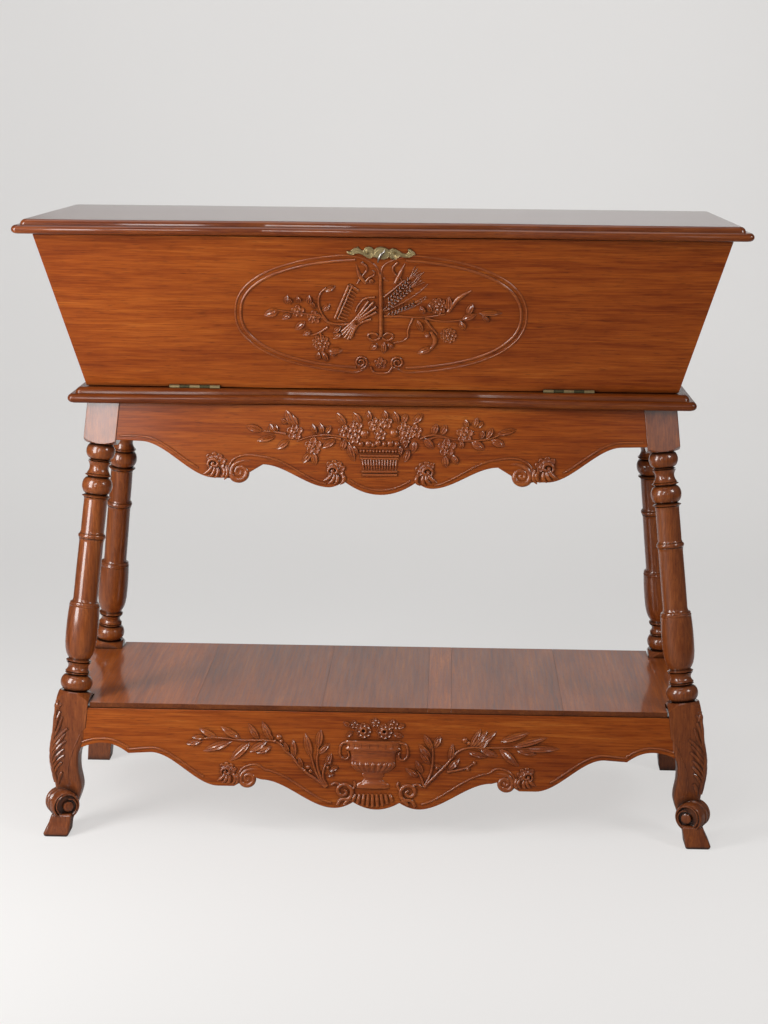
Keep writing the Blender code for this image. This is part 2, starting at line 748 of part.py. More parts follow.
def cam_depths():
    """Where the cam lies behind the outer face of the drop front: its near and far side."""
    near = BIN_BOARD + 2 * STRIKE_CLEARANCE + STRIKE_THICKNESS
    return near, near + CAM_THICKNESS


def strike_underside():
    """Height of the strike's level flange, seen from below."""
    return RIM + LID_GAP - FIT - STRIKE_THICKNESS


def cam_length(spindle_height):
    """The cam's length from its spindle: turned up, it ends just under the strike's flange."""
    far = cam_depths()[1]
    room = strike_underside() - STRIKE_CLEARANCE / 2 - spindle_height - far * math.sin(SIDE_FLARE)
    return math.sqrt((room / math.cos(SIDE_FLARE)) ** 2 - (CAM_WIDTH / 2) ** 2)


def strike_solid():
    """A bent brass strip under the lid: a lip that hangs parallel to the drop front, and a level flange."""
    ceiling = RIM + LID_GAP - FIT
    lip_bottom = ceiling - STRIKE_LIP
    near = (BIN_BOARD + STRIKE_CLEARANCE) / math.cos(SIDE_FLARE)
    thick = STRIKE_THICKNESS / math.cos(SIDE_FLARE)

    def behind(height, depth):
        return -wall_y(height) + depth

    bend = strike_underside()
    section = [
        (behind(lip_bottom, near), lip_bottom),
        (behind(lip_bottom, near + thick), lip_bottom),
        (behind(bend, near + thick), bend),
        (behind(bend, near + STRIKE_FLANGE), bend),
        (behind(bend, near + STRIKE_FLANGE), ceiling),
        (behind(ceiling, near), ceiling),
    ]
    return loft([[(x, y, z) for y, z in section] for x in (-STRIKE_WIDTH / 2, STRIKE_WIDTH / 2)])


def build_stand(walnut, dark_walnut):
    upper_top = STAND_HEIGHT - FIT
    upper_half = Apron("", 1, 1, upper_top, plain_edge(1, UPPER_END_DROP)).run_end(upper_top)
    lower_half = Apron("", 1, 1, LOWER_APRON_TOP, plain_edge(1, LOWER_END_DROP)).run_end(LOWER_APRON_TOP)
    tiers = (
        ("upper", upper_top, upper_scallop(), UPPER_END_DROP, upper_half),
        ("lower", LOWER_APRON_TOP, lower_scallop(), LOWER_END_DROP, lower_half),
    )
    aprons = []
    for tier, top, scallop, drop, half in tiers:
        aprons.append(Apron(f"{tier}_apron_front", 0, -1, top, scallop))
        aprons.append(Apron(f"{tier}_apron_back", 0, 1, top, plain_edge(1, drop)))
        aprons.append(Apron(f"{tier}_apron_left", 1, -1, top, side_edge(half, drop)))
        aprons.append(Apron(f"{tier}_apron_right", 1, 1, top, side_edge(half, drop)))
    legs = {}
    for end, end_name in ((-1, "front"), (1, "back")):
        for side, side_name in ((-1, "left"), (1, "right")):
            leg = Leg(side, end)
            name = f"leg_{end_name}_{side_name}"
            legs[side, end] = add(name, leg_solid(leg), dark_walnut)
            if end < 0:
                combine(legs[side, end], tool(f"{name}_scroll", scroll_solid(leg)), "UNION")
                combine(legs[side, end], tool(f"{name}_toe", toe_solid(leg)), "UNION")
    for apron in aprons:
        board = add(apron.name, apron.solid(), walnut)
        for end in (-1, 1):
            tag = "low" if end < 0 else "high"
            combine(board, tool(f"{apron.name}_tenon_{tag}", apron.tenon(end)), "UNION")
            leg = legs[end, apron.side] if apron.along == 0 else legs[apron.side, end]
            combine(leg, tool(f"{apron.name}_mortise_{tag}", apron.tenon(end, FIT)), "DIFFERENCE")
    seams = [None, *SHELF_SEAMS, None]
    for number, (left, right) in enumerate(zip(seams, seams[1:]), 1):
        plan = shelf_plan(left, right)
        levels = (SHELF_TOP - SHELF_THICKNESS, SHELF_TOP)
        add(f"shelf_board_{number}", loft([[(x, y, z) for x, y in plan] for z in levels]), dark_walnut)


def build_bin(walnut, brass, steel):
    floor_bm = moulded_board(FLOOR_X, FLOOR_Y, FLOOR_CUSP, STAND_HEIGHT, FLOOR_THICKNESS, FLOOR_NOSE)
    floor = add("bin_floor", floor_bm, walnut)
    back = add("bin_back", long_wall(1, FLOOR_TOP + FIT, RIM), walnut)
    add("bin_end_left", end_wall(-1), walnut)
    add("bin_end_right", end_wall(1), walnut)

    flap_axis = Vector((0, -wall_y(FLOOR_TOP) - HINGE_OFFSET, FLOOR_TOP + KNUCKLE_BORE))
    flap_carrier = axis_empty("flap_axis", flap_axis)
    flap_top = RIM - FLAP_GAP
    flap_bm = long_wall(-1, FLOOR_TOP + FLAP_GAP, flap_top, FLAP_CHAMFER)
    bmesh.ops.translate(flap_bm, verts=flap_bm.verts, vec=-flap_axis)
    flap = add("drop_front", flap_bm, walnut, flap_carrier, flap_axis)

    lid_axis = Vector((0, wall_y(RIM) + HINGE_OFFSET, RIM + KNUCKLE_BORE))
    lid_carrier = axis_empty("lid_axis", lid_axis)
    lid_bm = moulded_board(LID_X, LID_Y, LID_CUSP, RIM + LID_GAP, LID_THICKNESS, LID_NOSE)
    bmesh.ops.translate(lid_bm, verts=lid_bm.verts, vec=-lid_axis)
    lid = add("lid", lid_bm, walnut, lid_carrier, lid_axis)

    for side, tag in ((-1, "left"), (1, "right")):
        spot = flap_axis + Vector((side * (BIN_FOOT_X - FLAP_HINGE_INSET), 0, 0))
        butt_hinge(f"front_hinge_{tag}", spot, (0, 0, 0), floor, flap, flap_carrier, (brass, steel))
        spot = lid_axis + Vector((side * (BIN_TOP_WIDTH / 2 - LID_HINGE_INSET), 0, 0))
        butt_hinge(f"lid_hinge_{tag}", spot, (0, 0, math.pi), back, lid, lid_carrier, (brass, steel))

    catch_height = flap_top - CATCH_DROP * math.cos(SIDE_FLARE)
    catch_spot = Vector((0, -wall_y(catch_height), catch_height))
    catch_turn = (math.pi / 2 + SIDE_FLARE, 0, 0)
    catch_carrier = axis_empty("catch_axis", catch_spot)
    plate = add("catch_plate", plate_solid(), brass, flap_carrier, catch_spot, catch_turn)
    near, far = cam_depths()
    bore_ends = (-far, LEVER_THICKNESS)
    bore_radius = SPINDLE_RADIUS + FIT
    bore_bm = turned([(bore_radius, z) for z in bore_ends], 12)
    bore = tool("spindle_bore", bore_bm, location=catch_spot, turn=catch_turn)
    combine(plate, bore, "DIFFERENCE")
    combine(flap, bore, "DIFFERENCE")
    for side, tag in ((-1, "left"), (1, "right")):
        lean = Matrix.Rotation(catch_turn[0], 3, "X")
        spot = catch_spot + lean @ Vector((side * PLATE_PIN_X, 0, 0))
        crown = PLATE_THICKNESS + 2 * FIT
        head = PLATE_PIN_RADIUS * 1.8
        profile = [(PLATE_PIN_RADIUS / 2, -PLATE_PIN_LENGTH), (PLATE_PIN_RADIUS, -PLATE_PIN_LENGTH * 0.8)]
        profile += [(PLATE_PIN_RADIUS, crown), (head, crown), (head * 0.7, crown + head * 0.6)]
        add(f"plate_pin_{tag}", turned(profile, 10), brass, flap_carrier, spot, catch_turn)
        hole_ends = (-PLATE_PIN_LENGTH - FIT, crown + head)
        hole = turned([(PLATE_PIN_RADIUS + FIT, z) for z in hole_ends], 10)
        hole_tool = tool(f"plate_pin_{tag}_hole", hole, location=spot, turn=catch_turn)
        combine(plate, hole_tool, "DIFFERENCE")
        combine(flap, hole_tool, "DIFFERENCE")

    lever = add("catch_lever", lever_solid(), steel, catch_carrier, catch_spot, catch_turn)
    spindle_ends = (-far, PLATE_THICKNESS + LEVER_THICKNESS)
    spindle = turned([(SPINDLE_RADIUS, z) for z in spindle_ends], 12)
    combine(lever, tool("spindle", spindle, location=catch_spot, turn=catch_turn), "UNION")
    half_cam = CAM_WIDTH / 2
    cam_bm = block((-cam_length(catch_height), -half_cam, -far), (half_cam, half_cam, -near))
    cam = add("catch_cam", cam_bm, steel, catch_carrier, catch_spot, catch_turn)
    combine(cam, bore, "DIFFERENCE")
    strike_bm = strike_solid()
    bmesh.ops.translate(strike_bm, verts=strike_bm.verts, vec=-lid_axis)
    add("catch_strike", strike_bm, brass, lid_carrier, lid_axis)


def main():
    clear_scene()
    walnut = material("polished walnut", (0.22, 0.075, 0.025), 0.32)
    dark_walnut = material("dark walnut", (0.13, 0.042, 0.017), 0.30)
    brass = material("aged brass", (0.42, 0.33, 0.16), 0.38, 1.0)
    steel = material("worn steel", (0.45, 0.43, 0.40), 0.35, 1.0)
    build_stand(walnut, dark_walnut)
    build_bin(walnut, brass, steel)


main()
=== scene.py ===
import math

import bpy
from mathutils import Matrix, Vector


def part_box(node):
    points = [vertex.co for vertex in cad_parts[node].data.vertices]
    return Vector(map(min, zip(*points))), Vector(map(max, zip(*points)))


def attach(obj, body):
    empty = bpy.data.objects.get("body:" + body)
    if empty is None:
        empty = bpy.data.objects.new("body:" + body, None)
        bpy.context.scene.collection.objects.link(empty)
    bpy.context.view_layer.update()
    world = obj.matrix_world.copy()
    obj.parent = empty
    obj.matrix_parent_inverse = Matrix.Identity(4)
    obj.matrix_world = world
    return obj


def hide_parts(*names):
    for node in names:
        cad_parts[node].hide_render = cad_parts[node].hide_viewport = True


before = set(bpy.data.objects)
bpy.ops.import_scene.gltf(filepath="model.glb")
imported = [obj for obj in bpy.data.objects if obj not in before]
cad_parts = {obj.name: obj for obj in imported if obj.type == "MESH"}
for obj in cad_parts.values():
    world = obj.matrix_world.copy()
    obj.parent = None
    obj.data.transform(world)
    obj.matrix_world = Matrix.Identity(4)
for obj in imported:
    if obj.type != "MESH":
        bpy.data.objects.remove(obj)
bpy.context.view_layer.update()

# Photographer's stand: the camera is where the photograph was taken from, a little right of the middle and
# above the lid, looking slightly down through a long lens.
CAMERA_PLACE = Vector((0.1183, -3.812, 1.2853))
CAMERA_YAW = math.radians(-1.749)
CAMERA_PITCH = math.radians(10.984)
CAMERA_ROLL = math.radians(0.545)
FOCAL_PIXELS = 2121.5
PICTURE_WIDTH = 768
PICTURE_HEIGHT = 1024
SENSOR = 36.0

level = Vector((math.cos(CAMERA_YAW), -math.sin(CAMERA_YAW), 0))
heading = Vector((math.sin(CAMERA_YAW), math.cos(CAMERA_YAW), -math.tan(CAMERA_PITCH))).normalized()
rise = level.cross(heading)
camera_right = level * math.cos(CAMERA_ROLL) + rise * math.sin(CAMERA_ROLL)
camera_up = rise * math.cos(CAMERA_ROLL) - level * math.sin(CAMERA_ROLL)

bpy.ops.object.select_all(action="DESELECT")
bpy.ops.object.camera_add(location=CAMERA_PLACE)
camera = bpy.context.object
camera.name = "photo_camera"
turned = Matrix((camera_right, camera_up, -heading)).transposed().to_4x4()
camera.matrix_world = Matrix.Translation(CAMERA_PLACE) @ turned
camera.data.sensor_width = SENSOR
camera.data.lens = FOCAL_PIXELS * SENSOR / PICTURE_HEIGHT
bpy.context.scene.camera = camera
bpy.context.scene.view_settings.view_transform = "Standard"

# Studio: a wide roll of pale paper swept up far behind the table, soft boxes at both sides, tall windows
# in front that the wax mirrors, and lamps above. The room behind the camera is dim, so polished wood
# mirrors it darkly.
SWEEP_SIZE = 16.0
SWEEP_RADIUS = 3.0
PAPER = (0.80, 0.785, 0.77, 1)
PAPER_MOTTLE = 0.97
# Painted light on the paper: the share of glow the camera sees, and the glow's strength from front to back.
PAPER_LIFT = 0.6
PAPER_GLOW = ((0.0, 1.17), (0.09, 1.21), (0.345, 0.98), (0.93, 1.01))
GLOW_RANGE = 2.0
PAPER_DEPTH = (-1.0, 8.0)
# Dark floor painted into reflections, in front of the table and out at the sides.
DIM_FLOOR = (0.15, 0.14, 0.13, 1)
PAPER_FRONT = (0.4, -0.4)
PAPER_SIDES = (2.0, 2.8)
ROOM_TONE = (0.93, 0.95, 1.0, 1)
ROOM_STRENGTH = 0.16
ROOM_MIRRORED = 0.06
ROOM_SHOWN = 0.9
LAMPS = (
    ("left_box", (-1.40, -1.10, 1.15), (-0.3, 0, 0.80), 0.6, 1.5, 28),
    ("right_box", (1.85, -1.30, 1.85), (0.1, 0, 0.75), 0.6, 0.7, 13),
    ("top_box", (-0.4, 0.2, 3.8), (0, 0, 0.6), 2.6, 2.6, 24),
    ("low_window", (-0.90, -2.70, 1.40), (-0.6, 0, 1.0), 0.24, 1.3, 8),
    ("high_window", (-0.48, -2.70, 2.00), (-0.3, 0, 1.0), 0.42, 0.6, 6),
    ("right_window", (0.76, -2.70, 1.25), (0.5, 0, 0.9), 0.22, 0.9, 0.8),
    ("paper_lamp", (0, 3.0, 4.4), (0, 7.4, 2.2), 4.0, 1.5, 175),
)


def shader_node(tree, kind, inputs=(), **settings):
    """Adds a node; inputs holds pairs of a socket and a value, or an output to link to it."""
    made = tree.nodes.new(kind)
    for name, value in settings.items():
        setattr(made, name, value)
    for socket, value in inputs:
        if isinstance(value, bpy.types.NodeSocket):
            tree.links.new(value, made.inputs[socket])
        else:
            made.inputs[socket].default_value = value
    return made


def spread(tree, value, low, high):
    """Stretches a range of a value to 0 to 1."""
    made = shader_node(tree, "ShaderNodeMapRange", (("Value", value), ("From Min", low), ("From Max", high)))
    return made.outputs["Result"]


def maths(tree, operation, *values):
    """Works out a value from one or two others."""
    return shader_node(tree, "ShaderNodeMath", enumerate(values), operation=operation).outputs[0]


def blend(tree, share, first, second):
    """Mixes two colours."""
    mix = shader_node(tree, "ShaderNodeMix", ((0, share), (6, first), (7, second)), data_type="RGBA")
    return mix.outputs[2]


def new_material(name):
    """An empty material with its output node."""
    material = bpy.data.materials.new(name)
    material.use_nodes = True
    material.node_tree.nodes.clear()
    return material


def surface(tree, shader):
    """Links a shader to the material's output."""
    shader_node(tree, "ShaderNodeOutputMaterial", (("Surface", shader.outputs[0]),))


def choose(piece, test):
    """Selects the vertices that pass a test and opens the piece in edit mode."""
    bpy.ops.object.mode_set(mode="OBJECT")
    for part in (piece.data.vertices, piece.data.edges, piece.data.polygons):
        part.foreach_set("select", [False] * len(part))
    for vertex in piece.data.vertices:
        vertex.select = test(vertex.co)
    bpy.ops.object.mode_set(mode="EDIT")
    bpy.ops.mesh.select_mode(type="VERT")


bpy.ops.object.select_all(action="DESELECT")
bpy.ops.mesh.primitive_plane_add(size=SWEEP_SIZE)
sweep = bpy.context.object
sweep.name = "paper_sweep"
choose(sweep, lambda place: place.y > 0)
bpy.ops.mesh.extrude_region_move(TRANSFORM_OT_translate={"value": (0, 0, SWEEP_SIZE / 2)})
choose(sweep, lambda place: place.y > 0 and place.z < 0.01)
bpy.ops.mesh.bevel(offset=SWEEP_RADIUS, segments=24)
bpy.ops.object.mode_set(mode="OBJECT")
bpy.ops.object.shade_smooth()
paper = new_material("sweep_paper")
sheet = paper.node_tree
coords = shader_node(sheet, "ShaderNodeTexCoord")
mottle = shader_node(sheet, "ShaderNodeTexNoise",
                     (("Vector", coords.outputs["Object"]), ("Scale", 0.7), ("Detail", 3)))
tone = shader_node(sheet, "ShaderNodeValToRGB", (("Fac", mottle.outputs["Fac"]),))
tone.color_ramp.elements[0].color = [shade * PAPER_MOTTLE for shade in PAPER[:3]] + [1]
tone.color_ramp.elements[1].color = PAPER
path_kind = shader_node(sheet, "ShaderNodeLightPath")
along = shader_node(sheet, "ShaderNodeSeparateXYZ", (("Vector", coords.outputs["Object"]),))
# Painted shade in reflections: glossy rays see the paper in front of the table and at the sides as a dark
# floor.
beyond = spread(sheet, along.outputs["Y"], *PAPER_FRONT)
beside = spread(sheet, maths(sheet, "ABSOLUTE", along.outputs["X"]), *PAPER_SIDES)
outside = maths(sheet, "MAXIMUM", beyond, beside)
mirrored = maths(sheet, "MULTIPLY", outside, path_kind.outputs["Is Glossy Ray"])
dimmed = blend(sheet, mirrored, tone.outputs["Color"], DIM_FLOOR)
matt = shader_node(sheet, "ShaderNodeBsdfPrincipled",
                   (("Base Color", dimmed), ("Roughness", 0.9), ("Specular IOR Level", 0.1)))
# Painted light: the camera sees the paper as six parts glow to four parts lit paper, so the table's shadow on
# it is painted paler; the glow is brightest on the floor in front and dips behind the table.
depth = spread(sheet, along.outputs["Y"], *PAPER_DEPTH)
fade = shader_node(sheet, "ShaderNodeFloatCurve", (("Value", depth),))
fall = fade.mapping.curves[0]
for share, strength in PAPER_GLOW:
    fall.points.new(share, strength / GLOW_RANGE)
fall.points.remove(fall.points[-1])
fall.points.remove(fall.points[0])
fade.mapping.update()
shine = maths(sheet, "MULTIPLY", fade.outputs[0], GLOW_RANGE)
glow = shader_node(sheet, "ShaderNodeEmission", (("Color", tone.outputs["Color"]), ("Strength", shine)))
lift = maths(sheet, "MULTIPLY", path_kind.outputs["Is Camera Ray"], PAPER_LIFT)
surface(sheet, shader_node(sheet, "ShaderNodeMixShader",
                           ((0, lift), (1, matt.outputs[0]), (2, glow.outputs[0]))))
sweep.data.materials.append(paper)

for name, place, target, width, height, power in LAMPS:
    bpy.ops.object.light_add(type="AREA", location=place)
    lamp = bpy.context.object
    lamp.name = name
    lamp.data.shape = "RECTANGLE"
    lamp.data.size = width
    lamp.data.size_y = height
    lamp.data.energy = power
    lamp.visible_camera = False
    lamp.rotation_euler = (Vector(target) - lamp.location).to_track_quat("-Z", "Y").to_euler()

world = bpy.data.worlds.new("studio_room")
world.use_nodes = True
room = world.node_tree
room.nodes.clear()
seen = shader_node(room, "ShaderNodeLightPath")
level_of = shader_node(room, "ShaderNodeMix",
                       ((0, seen.outputs["Is Glossy Ray"]), (2, ROOM_STRENGTH), (3, ROOM_MIRRORED)))
dim = shader_node(room, "ShaderNodeBackground", (("Color", ROOM_TONE), ("Strength", level_of.outputs[0])))
pale = shader_node(room, "ShaderNodeBackground", (("Color", PAPER), ("Strength", ROOM_SHOWN)))
shown = shader_node(room, "ShaderNodeMixShader",
                    ((0, seen.outputs["Is Camera Ray"]), (1, dim.outputs[0]), (2, pale.outputs[0])))
shader_node(room, "ShaderNodeOutputWorld", (("Surface", shown.outputs[0]),))
bpy.context.scene.world = world

# Legs: four splayed legs of solid walnut, each turned between a square block at the top and one above the
# foot. The turner leaves the blocks square, so their shoulders show as arches on each face.
STAND_HEIGHT = 0.7645
LEG_ACROSS = 0.48427
LEG_ALONG = 0.13133
SPLAY_ACROSS = 0.10423
SPLAY_ALONG = 0.10811
BLOCK_HALF = 0.0284
BLOCK_EASE = 0.0014
BLOCK_CORNER = 0.0405
TOP_BLOCK = 0.688
LOW_BLOCK_TOP = 0.2505
SHOULDERS = (0.0150, 0.0085)
FOOT_HEIGHT = 0.165
TURNING_SIDES = 48
TURNING = (
    ("ball", 0.0285, 0.0283),
    ("ring", 0.006, 0.0220),
    ("cove", 0.016, 0.0177),
    ("ring", 0.006, 0.0227),
    ("vase", 0.093, 0.0282),
    ("collar", 0.009, 0.0268),
    ("shaft", 0.64, 0.0215),
    ("bead", 0.010, 0.0243),
    ("shaft", 0.36, 0.0207),
    ("ring", 0.006, 0.0250),
    ("ball", 0.031, 0.0268),
    ("ring", 0.006, 0.0234),
    ("cove", 0.021, 0.0167),
    ("ring", 0.004, 0.0200),
    ("ball", 0.028, 0.0255),
)
VASE_SHAPE = ((0.0, 0.64), (0.05, 0.75), (0.11, 0.85), (0.20, 0.93), (0.32, 0.98), (0.50, 1.0), (0.70, 1.0),
              (0.86, 0.985), (1.0, 0.955))
COLLAR_SHAPE = ((0.0, 0.93), (0.02, 1.0), (0.25, 1.02), (0.42, 0.985), (0.5, 0.97), (0.58, 0.985),
                (0.8, 0.97), (1.0, 0.86))
RING_SHAPE = ((0.0, 0.80), (0.14, 0.86), (0.40, 0.985), (0.5, 1.0), (0.60, 0.985), (0.86, 0.86), (1.0, 0.80))
BEAD_SHAPE = ((0.0, 0.88), (0.1, 0.885), (0.14, 0.94), (0.3, 0.985), (0.5, 1.0), (0.7, 0.985), (0.86, 0.94),
              (0.9, 0.885), (1.0, 0.88))
WALNUT_SHADES = ((0.0, (0.085, 0.012, 0.001)), (0.32, (0.200, 0.034, 0.002)), (0.60, (0.300, 0.062, 0.004)),
                 (1.0, (0.45, 0.126, 0.014)))
LEG_SHADES = ((0.0, (0.064, 0.012, 0.001)), (0.32, (0.155, 0.033, 0.005)), (0.60, (0.240, 0.057, 0.008)),
              (1.0, (0.37, 0.108, 0.018)))
LEG_GLOSS = (0.35, 0.95, 0.12)
# Dark brown of the open pores, also the colour of the painted shade in recesses.
PORE_AND_SHADE_DARK = (0.016, 0.005, 0.002, 1)
WORN = (0.44, 0.14, 0.03, 1)
PORE_DEPTH = 0.6
WOOD_ROUGHNESS = (0.36, 0.50)
GRAIN_BUMP = (0.10, 0.0004)
WAX_IOR = 1.6
BLOCK_SPARE = 0.012
PRISM_STRETCH = 40


def group_sockets(group, inputs, outputs):
    """Declares a node group's sockets and returns its two end nodes."""
    for name, kind in inputs:
        group.interface.new_socket(name, in_out="INPUT", socket_type=kind)
    for name, kind in outputs:
        group.interface.new_socket(name, in_out="OUTPUT", socket_type=kind)
    return group.nodes.new("NodeGroupInput"), group.nodes.new("NodeGroupOutput")


def stretched_noise(group, vector, stretch, detail, warp=0.0):
    """Noise drawn out along the grain."""
    scaled = shader_node(group, "ShaderNodeVectorMath", ((0, vector), (1, stretch)), operation="MULTIPLY")
    noise = shader_node(group, "ShaderNodeTexNoise", (("Vector", scaled.outputs[0]), ("Scale", 1.0),
                                                      ("Detail", detail), ("Distortion", warp)))
    return noise.outputs["Fac"]


def weigh(group, first, second, share):
    """Mixes two values."""
    made = shader_node(group, "ShaderNodeMix", ((0, share), (2, first), (3, second)))
    return made.outputs[0]


walnut_figure = bpy.data.node_groups.new("walnut_figure", "ShaderNodeTree")
entry, leave = group_sockets(walnut_figure, (("Vector", "NodeSocketVector"),),
                             (("Figure", "NodeSocketFloat"), ("Pores", "NodeSocketFloat"),
                              ("Fibre", "NodeSocketFloat")))
along = entry.outputs["Vector"]
clouds = spread(walnut_figure, stretched_noise(walnut_figure, along, (2.2, 17, 17), 4, 0.5), 0.28, 0.72)
streaks = spread(walnut_figure, stretched_noise(walnut_figure, along, (7, 140, 140), 4, 0.4), 0.28, 0.72)
fibre = spread(walnut_figure, stretched_noise(walnut_figure, along, (15, 430, 430), 2), 0.25, 0.75)
pores = spread(walnut_figure, stretched_noise(walnut_figure, along, (45, 1500, 1500), 1), 0.62, 0.72)
mixed = weigh(walnut_figure, clouds, streaks, 0.45)
mixed = weigh(walnut_figure, mixed, fibre, 0.38)
for socket, value in (("Figure", mixed), ("Pores", pores), ("Fibre", fibre)):
    walnut_figure.links.new(value, leave.inputs[socket])

# Carver's group: painted shade darkens the colour where ambient occlusion finds recesses, creases and
# overhangs, and rubbed arrises are lightened by wear.
carver_shade_and_wear = bpy.data.node_groups.new("carver_shade_and_wear", "ShaderNodeTree")
entry, leave = group_sockets(carver_shade_and_wear,
                             (("Color", "NodeSocketColor"), ("Reach", "NodeSocketFloat"),
                              ("Recess Shade", "NodeSocketFloat"), ("Wear", "NodeSocketFloat")),
                             (("Color", "NodeSocketColor"),))
# Painted shade: the ambient occlusion mask darkens recesses, grooves and the wood under overhangs towards dark
# brown.
shelter = shader_node(carver_shade_and_wear, "ShaderNodeAmbientOcclusion",
                      (("Distance", entry.outputs["Reach"]),), samples=8)
recess = spread(carver_shade_and_wear, shelter.outputs["AO"], 0.92, 0.42)
painted_shade = maths(carver_shade_and_wear, "MULTIPLY", recess, entry.outputs["Recess Shade"])
bend = shader_node(carver_shade_and_wear, "ShaderNodeNewGeometry")
arris = spread(carver_shade_and_wear, bend.outputs["Pointiness"], 0.52, 0.62)
rubbed = maths(carver_shade_and_wear, "MULTIPLY", arris, entry.outputs["Wear"])
worn = blend(carver_shade_and_wear, rubbed, entry.outputs["Color"], WORN)
carver_shade_and_wear.links.new(blend(carver_shade_and_wear, painted_shade, worn, PORE_AND_SHADE_DARK), leave.inputs["Color"])


def walnut_finish(name, shades, gloss, turn=(0, 0, 0), offset=(0, 0, 0), reach=0.02, recess_shade=0.55, wear=0.0):
    """Waxed walnut: figure and pores along the turned grain, painted shade in the recesses and rubbed at the
    edges. Reach and recess shade set how far and how dark the painted shade goes.

    Gloss is the strength of the wood's own shine, of the wax on it and the wax's roughness.
    """
    material = new_material(name)
    tree = material.node_tree
    place = shader_node(tree, "ShaderNodeTexCoord")
    grain = shader_node(tree, "ShaderNodeMapping", (("Vector", place.outputs["Object"]), ("Location", offset),
                                                    ("Rotation", turn)))
    figure = shader_node(tree, "ShaderNodeGroup", node_tree=walnut_figure)
    tree.links.new(grain.outputs["Vector"], figure.inputs["Vector"])
    ramp = shader_node(tree, "ShaderNodeValToRGB", (("Fac", figure.outputs["Figure"]),))
    ramp.color_ramp.elements.remove(ramp.color_ramp.elements[1])
    for index, (stop, shade) in enumerate(shades):
        step = ramp.color_ramp.elements[0] if index == 0 else ramp.color_ramp.elements.new(stop)
        step.position = stop
        step.color = shade + (1,)
    pore_depth = maths(tree, "MULTIPLY", figure.outputs["Pores"], PORE_DEPTH)
    open_pores = blend(tree, pore_depth, ramp.outputs["Color"], PORE_AND_SHADE_DARK)
    patina = shader_node(tree, "ShaderNodeGroup", node_tree=carver_shade_and_wear)
    tree.links.new(open_pores, patina.inputs["Color"])
    for socket, value in (("Reach", reach), ("Recess Shade", recess_shade), ("Wear", wear)):
        patina.inputs[socket].default_value = value
    dulled = shader_node(tree, "ShaderNodeMapRange",
                         (("Value", figure.outputs["Fibre"]), ("To Min", WOOD_ROUGHNESS[0]),
                          ("To Max", WOOD_ROUGHNESS[1])))
    height = maths(tree, "SUBTRACT", figure.outputs["Fibre"], figure.outputs["Pores"])
    bump = shader_node(tree, "ShaderNodeBump",
                       (("Strength", GRAIN_BUMP[0]), ("Distance", GRAIN_BUMP[1]), ("Height", height)))
    surface(tree, shader_node(tree, "ShaderNodeBsdfPrincipled", (
        ("Base Color", patina.outputs["Color"]), ("Roughness", dulled.outputs["Result"]),
        ("Normal", bump.outputs["Normal"]), ("Specular IOR Level", gloss[0]), ("Coat Weight", gloss[1]),
        ("Coat Roughness", gloss[2]), ("Coat IOR", WAX_IOR))))
    return material


def tinted(shades, strength):
    """The same shades, stained lighter or darker."""
    return [(stop, tuple(channel * strength for channel in shade)) for stop, shade in shades]


def lathe(name, profile, sides):
    """Turns a closed solid about Z: a disc is extruded from station to station and scaled to each radius."""
    radius, height = profile[0]
    bpy.ops.object.select_all(action="DESELECT")
    bpy.ops.mesh.primitive_circle_add(vertices=sides, radius=radius, fill_type="NGON",
                                      location=(0, 0, height))
    piece = bpy.context.object
    piece.name = name
    bpy.ops.object.transform_apply()
    bpy.ops.object.mode_set(mode="EDIT")
    for next_radius, next_height in profile[1:]:
        bpy.ops.mesh.extrude_region_move(TRANSFORM_OT_translate={"value": (0, 0, next_height - height)})
        scale = next_radius / radius
        bpy.ops.transform.resize(value=(scale, scale, 1), center_override=(0, 0, next_height))
        radius, height = next_radius, next_height
    outward_normals()
    return piece


def outward_normals():
    """Turns the faces of the piece in edit mode outwards and closes edit mode."""
    bpy.ops.mesh.select_all(action="SELECT")
    bpy.ops.mesh.normals_make_consistent(inside=False)
    bpy.ops.object.mode_set(mode="OBJECT")


def only(piece):
    """Selects one object alone and makes it the active one."""
    bpy.ops.object.select_all(action="DESELECT")
    bpy.context.view_layer.objects.active = piece
    piece.select_set(True)


def apply_modifier(piece, kind, **settings):
    """Adds a modifier and applies it."""
    only(piece)
    change = piece.modifiers.new(kind.lower(), kind)
    for name, value in settings.items():
        setattr(change, name, value)
    bpy.ops.object.modifier_apply(modifier=change.name)


def join_pieces(name, pieces):
    """Joins objects into the first one."""
    bpy.ops.object.select_all(action="DESELECT")
    for piece in pieces:
        piece.select_set(True)
    bpy.context.view_layer.objects.active = pieces[0]
    bpy.ops.object.join()
    pieces[0].name = name
    return pieces[0]


def put(piece, matrix):
    """Moves a piece by a matrix, with its place kept in its mesh."""
    only(piece)
    piece.matrix_world = matrix
    bpy.ops.object.transform_apply()
    if matrix.determinant() < 0:
        bpy.ops.object.mode_set(mode="EDIT")
        outward_normals()
    return piece


def copy_of(piece, name):
    """A copy with its own mesh."""
    twin = bpy.data.objects.new(name, piece.data.copy())
    bpy.context.scene.collection.objects.link(twin)
    return twin


def finish_piece(piece, material, body, nodes=(), angle=35, planed=False):
    """Smooths a piece, gives it its finish and fixes it to a body; planed faces stay flat beside edges."""
    only(piece)
    bpy.ops.object.shade_smooth_by_angle(angle=math.radians(angle))
    if planed:
        apply_modifier(piece, "WEIGHTED_NORMAL", keep_sharp=True)
    piece.data.materials.clear()
    piece.data.materials.append(material)
    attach(piece, body)
    if nodes:
        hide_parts(*nodes)


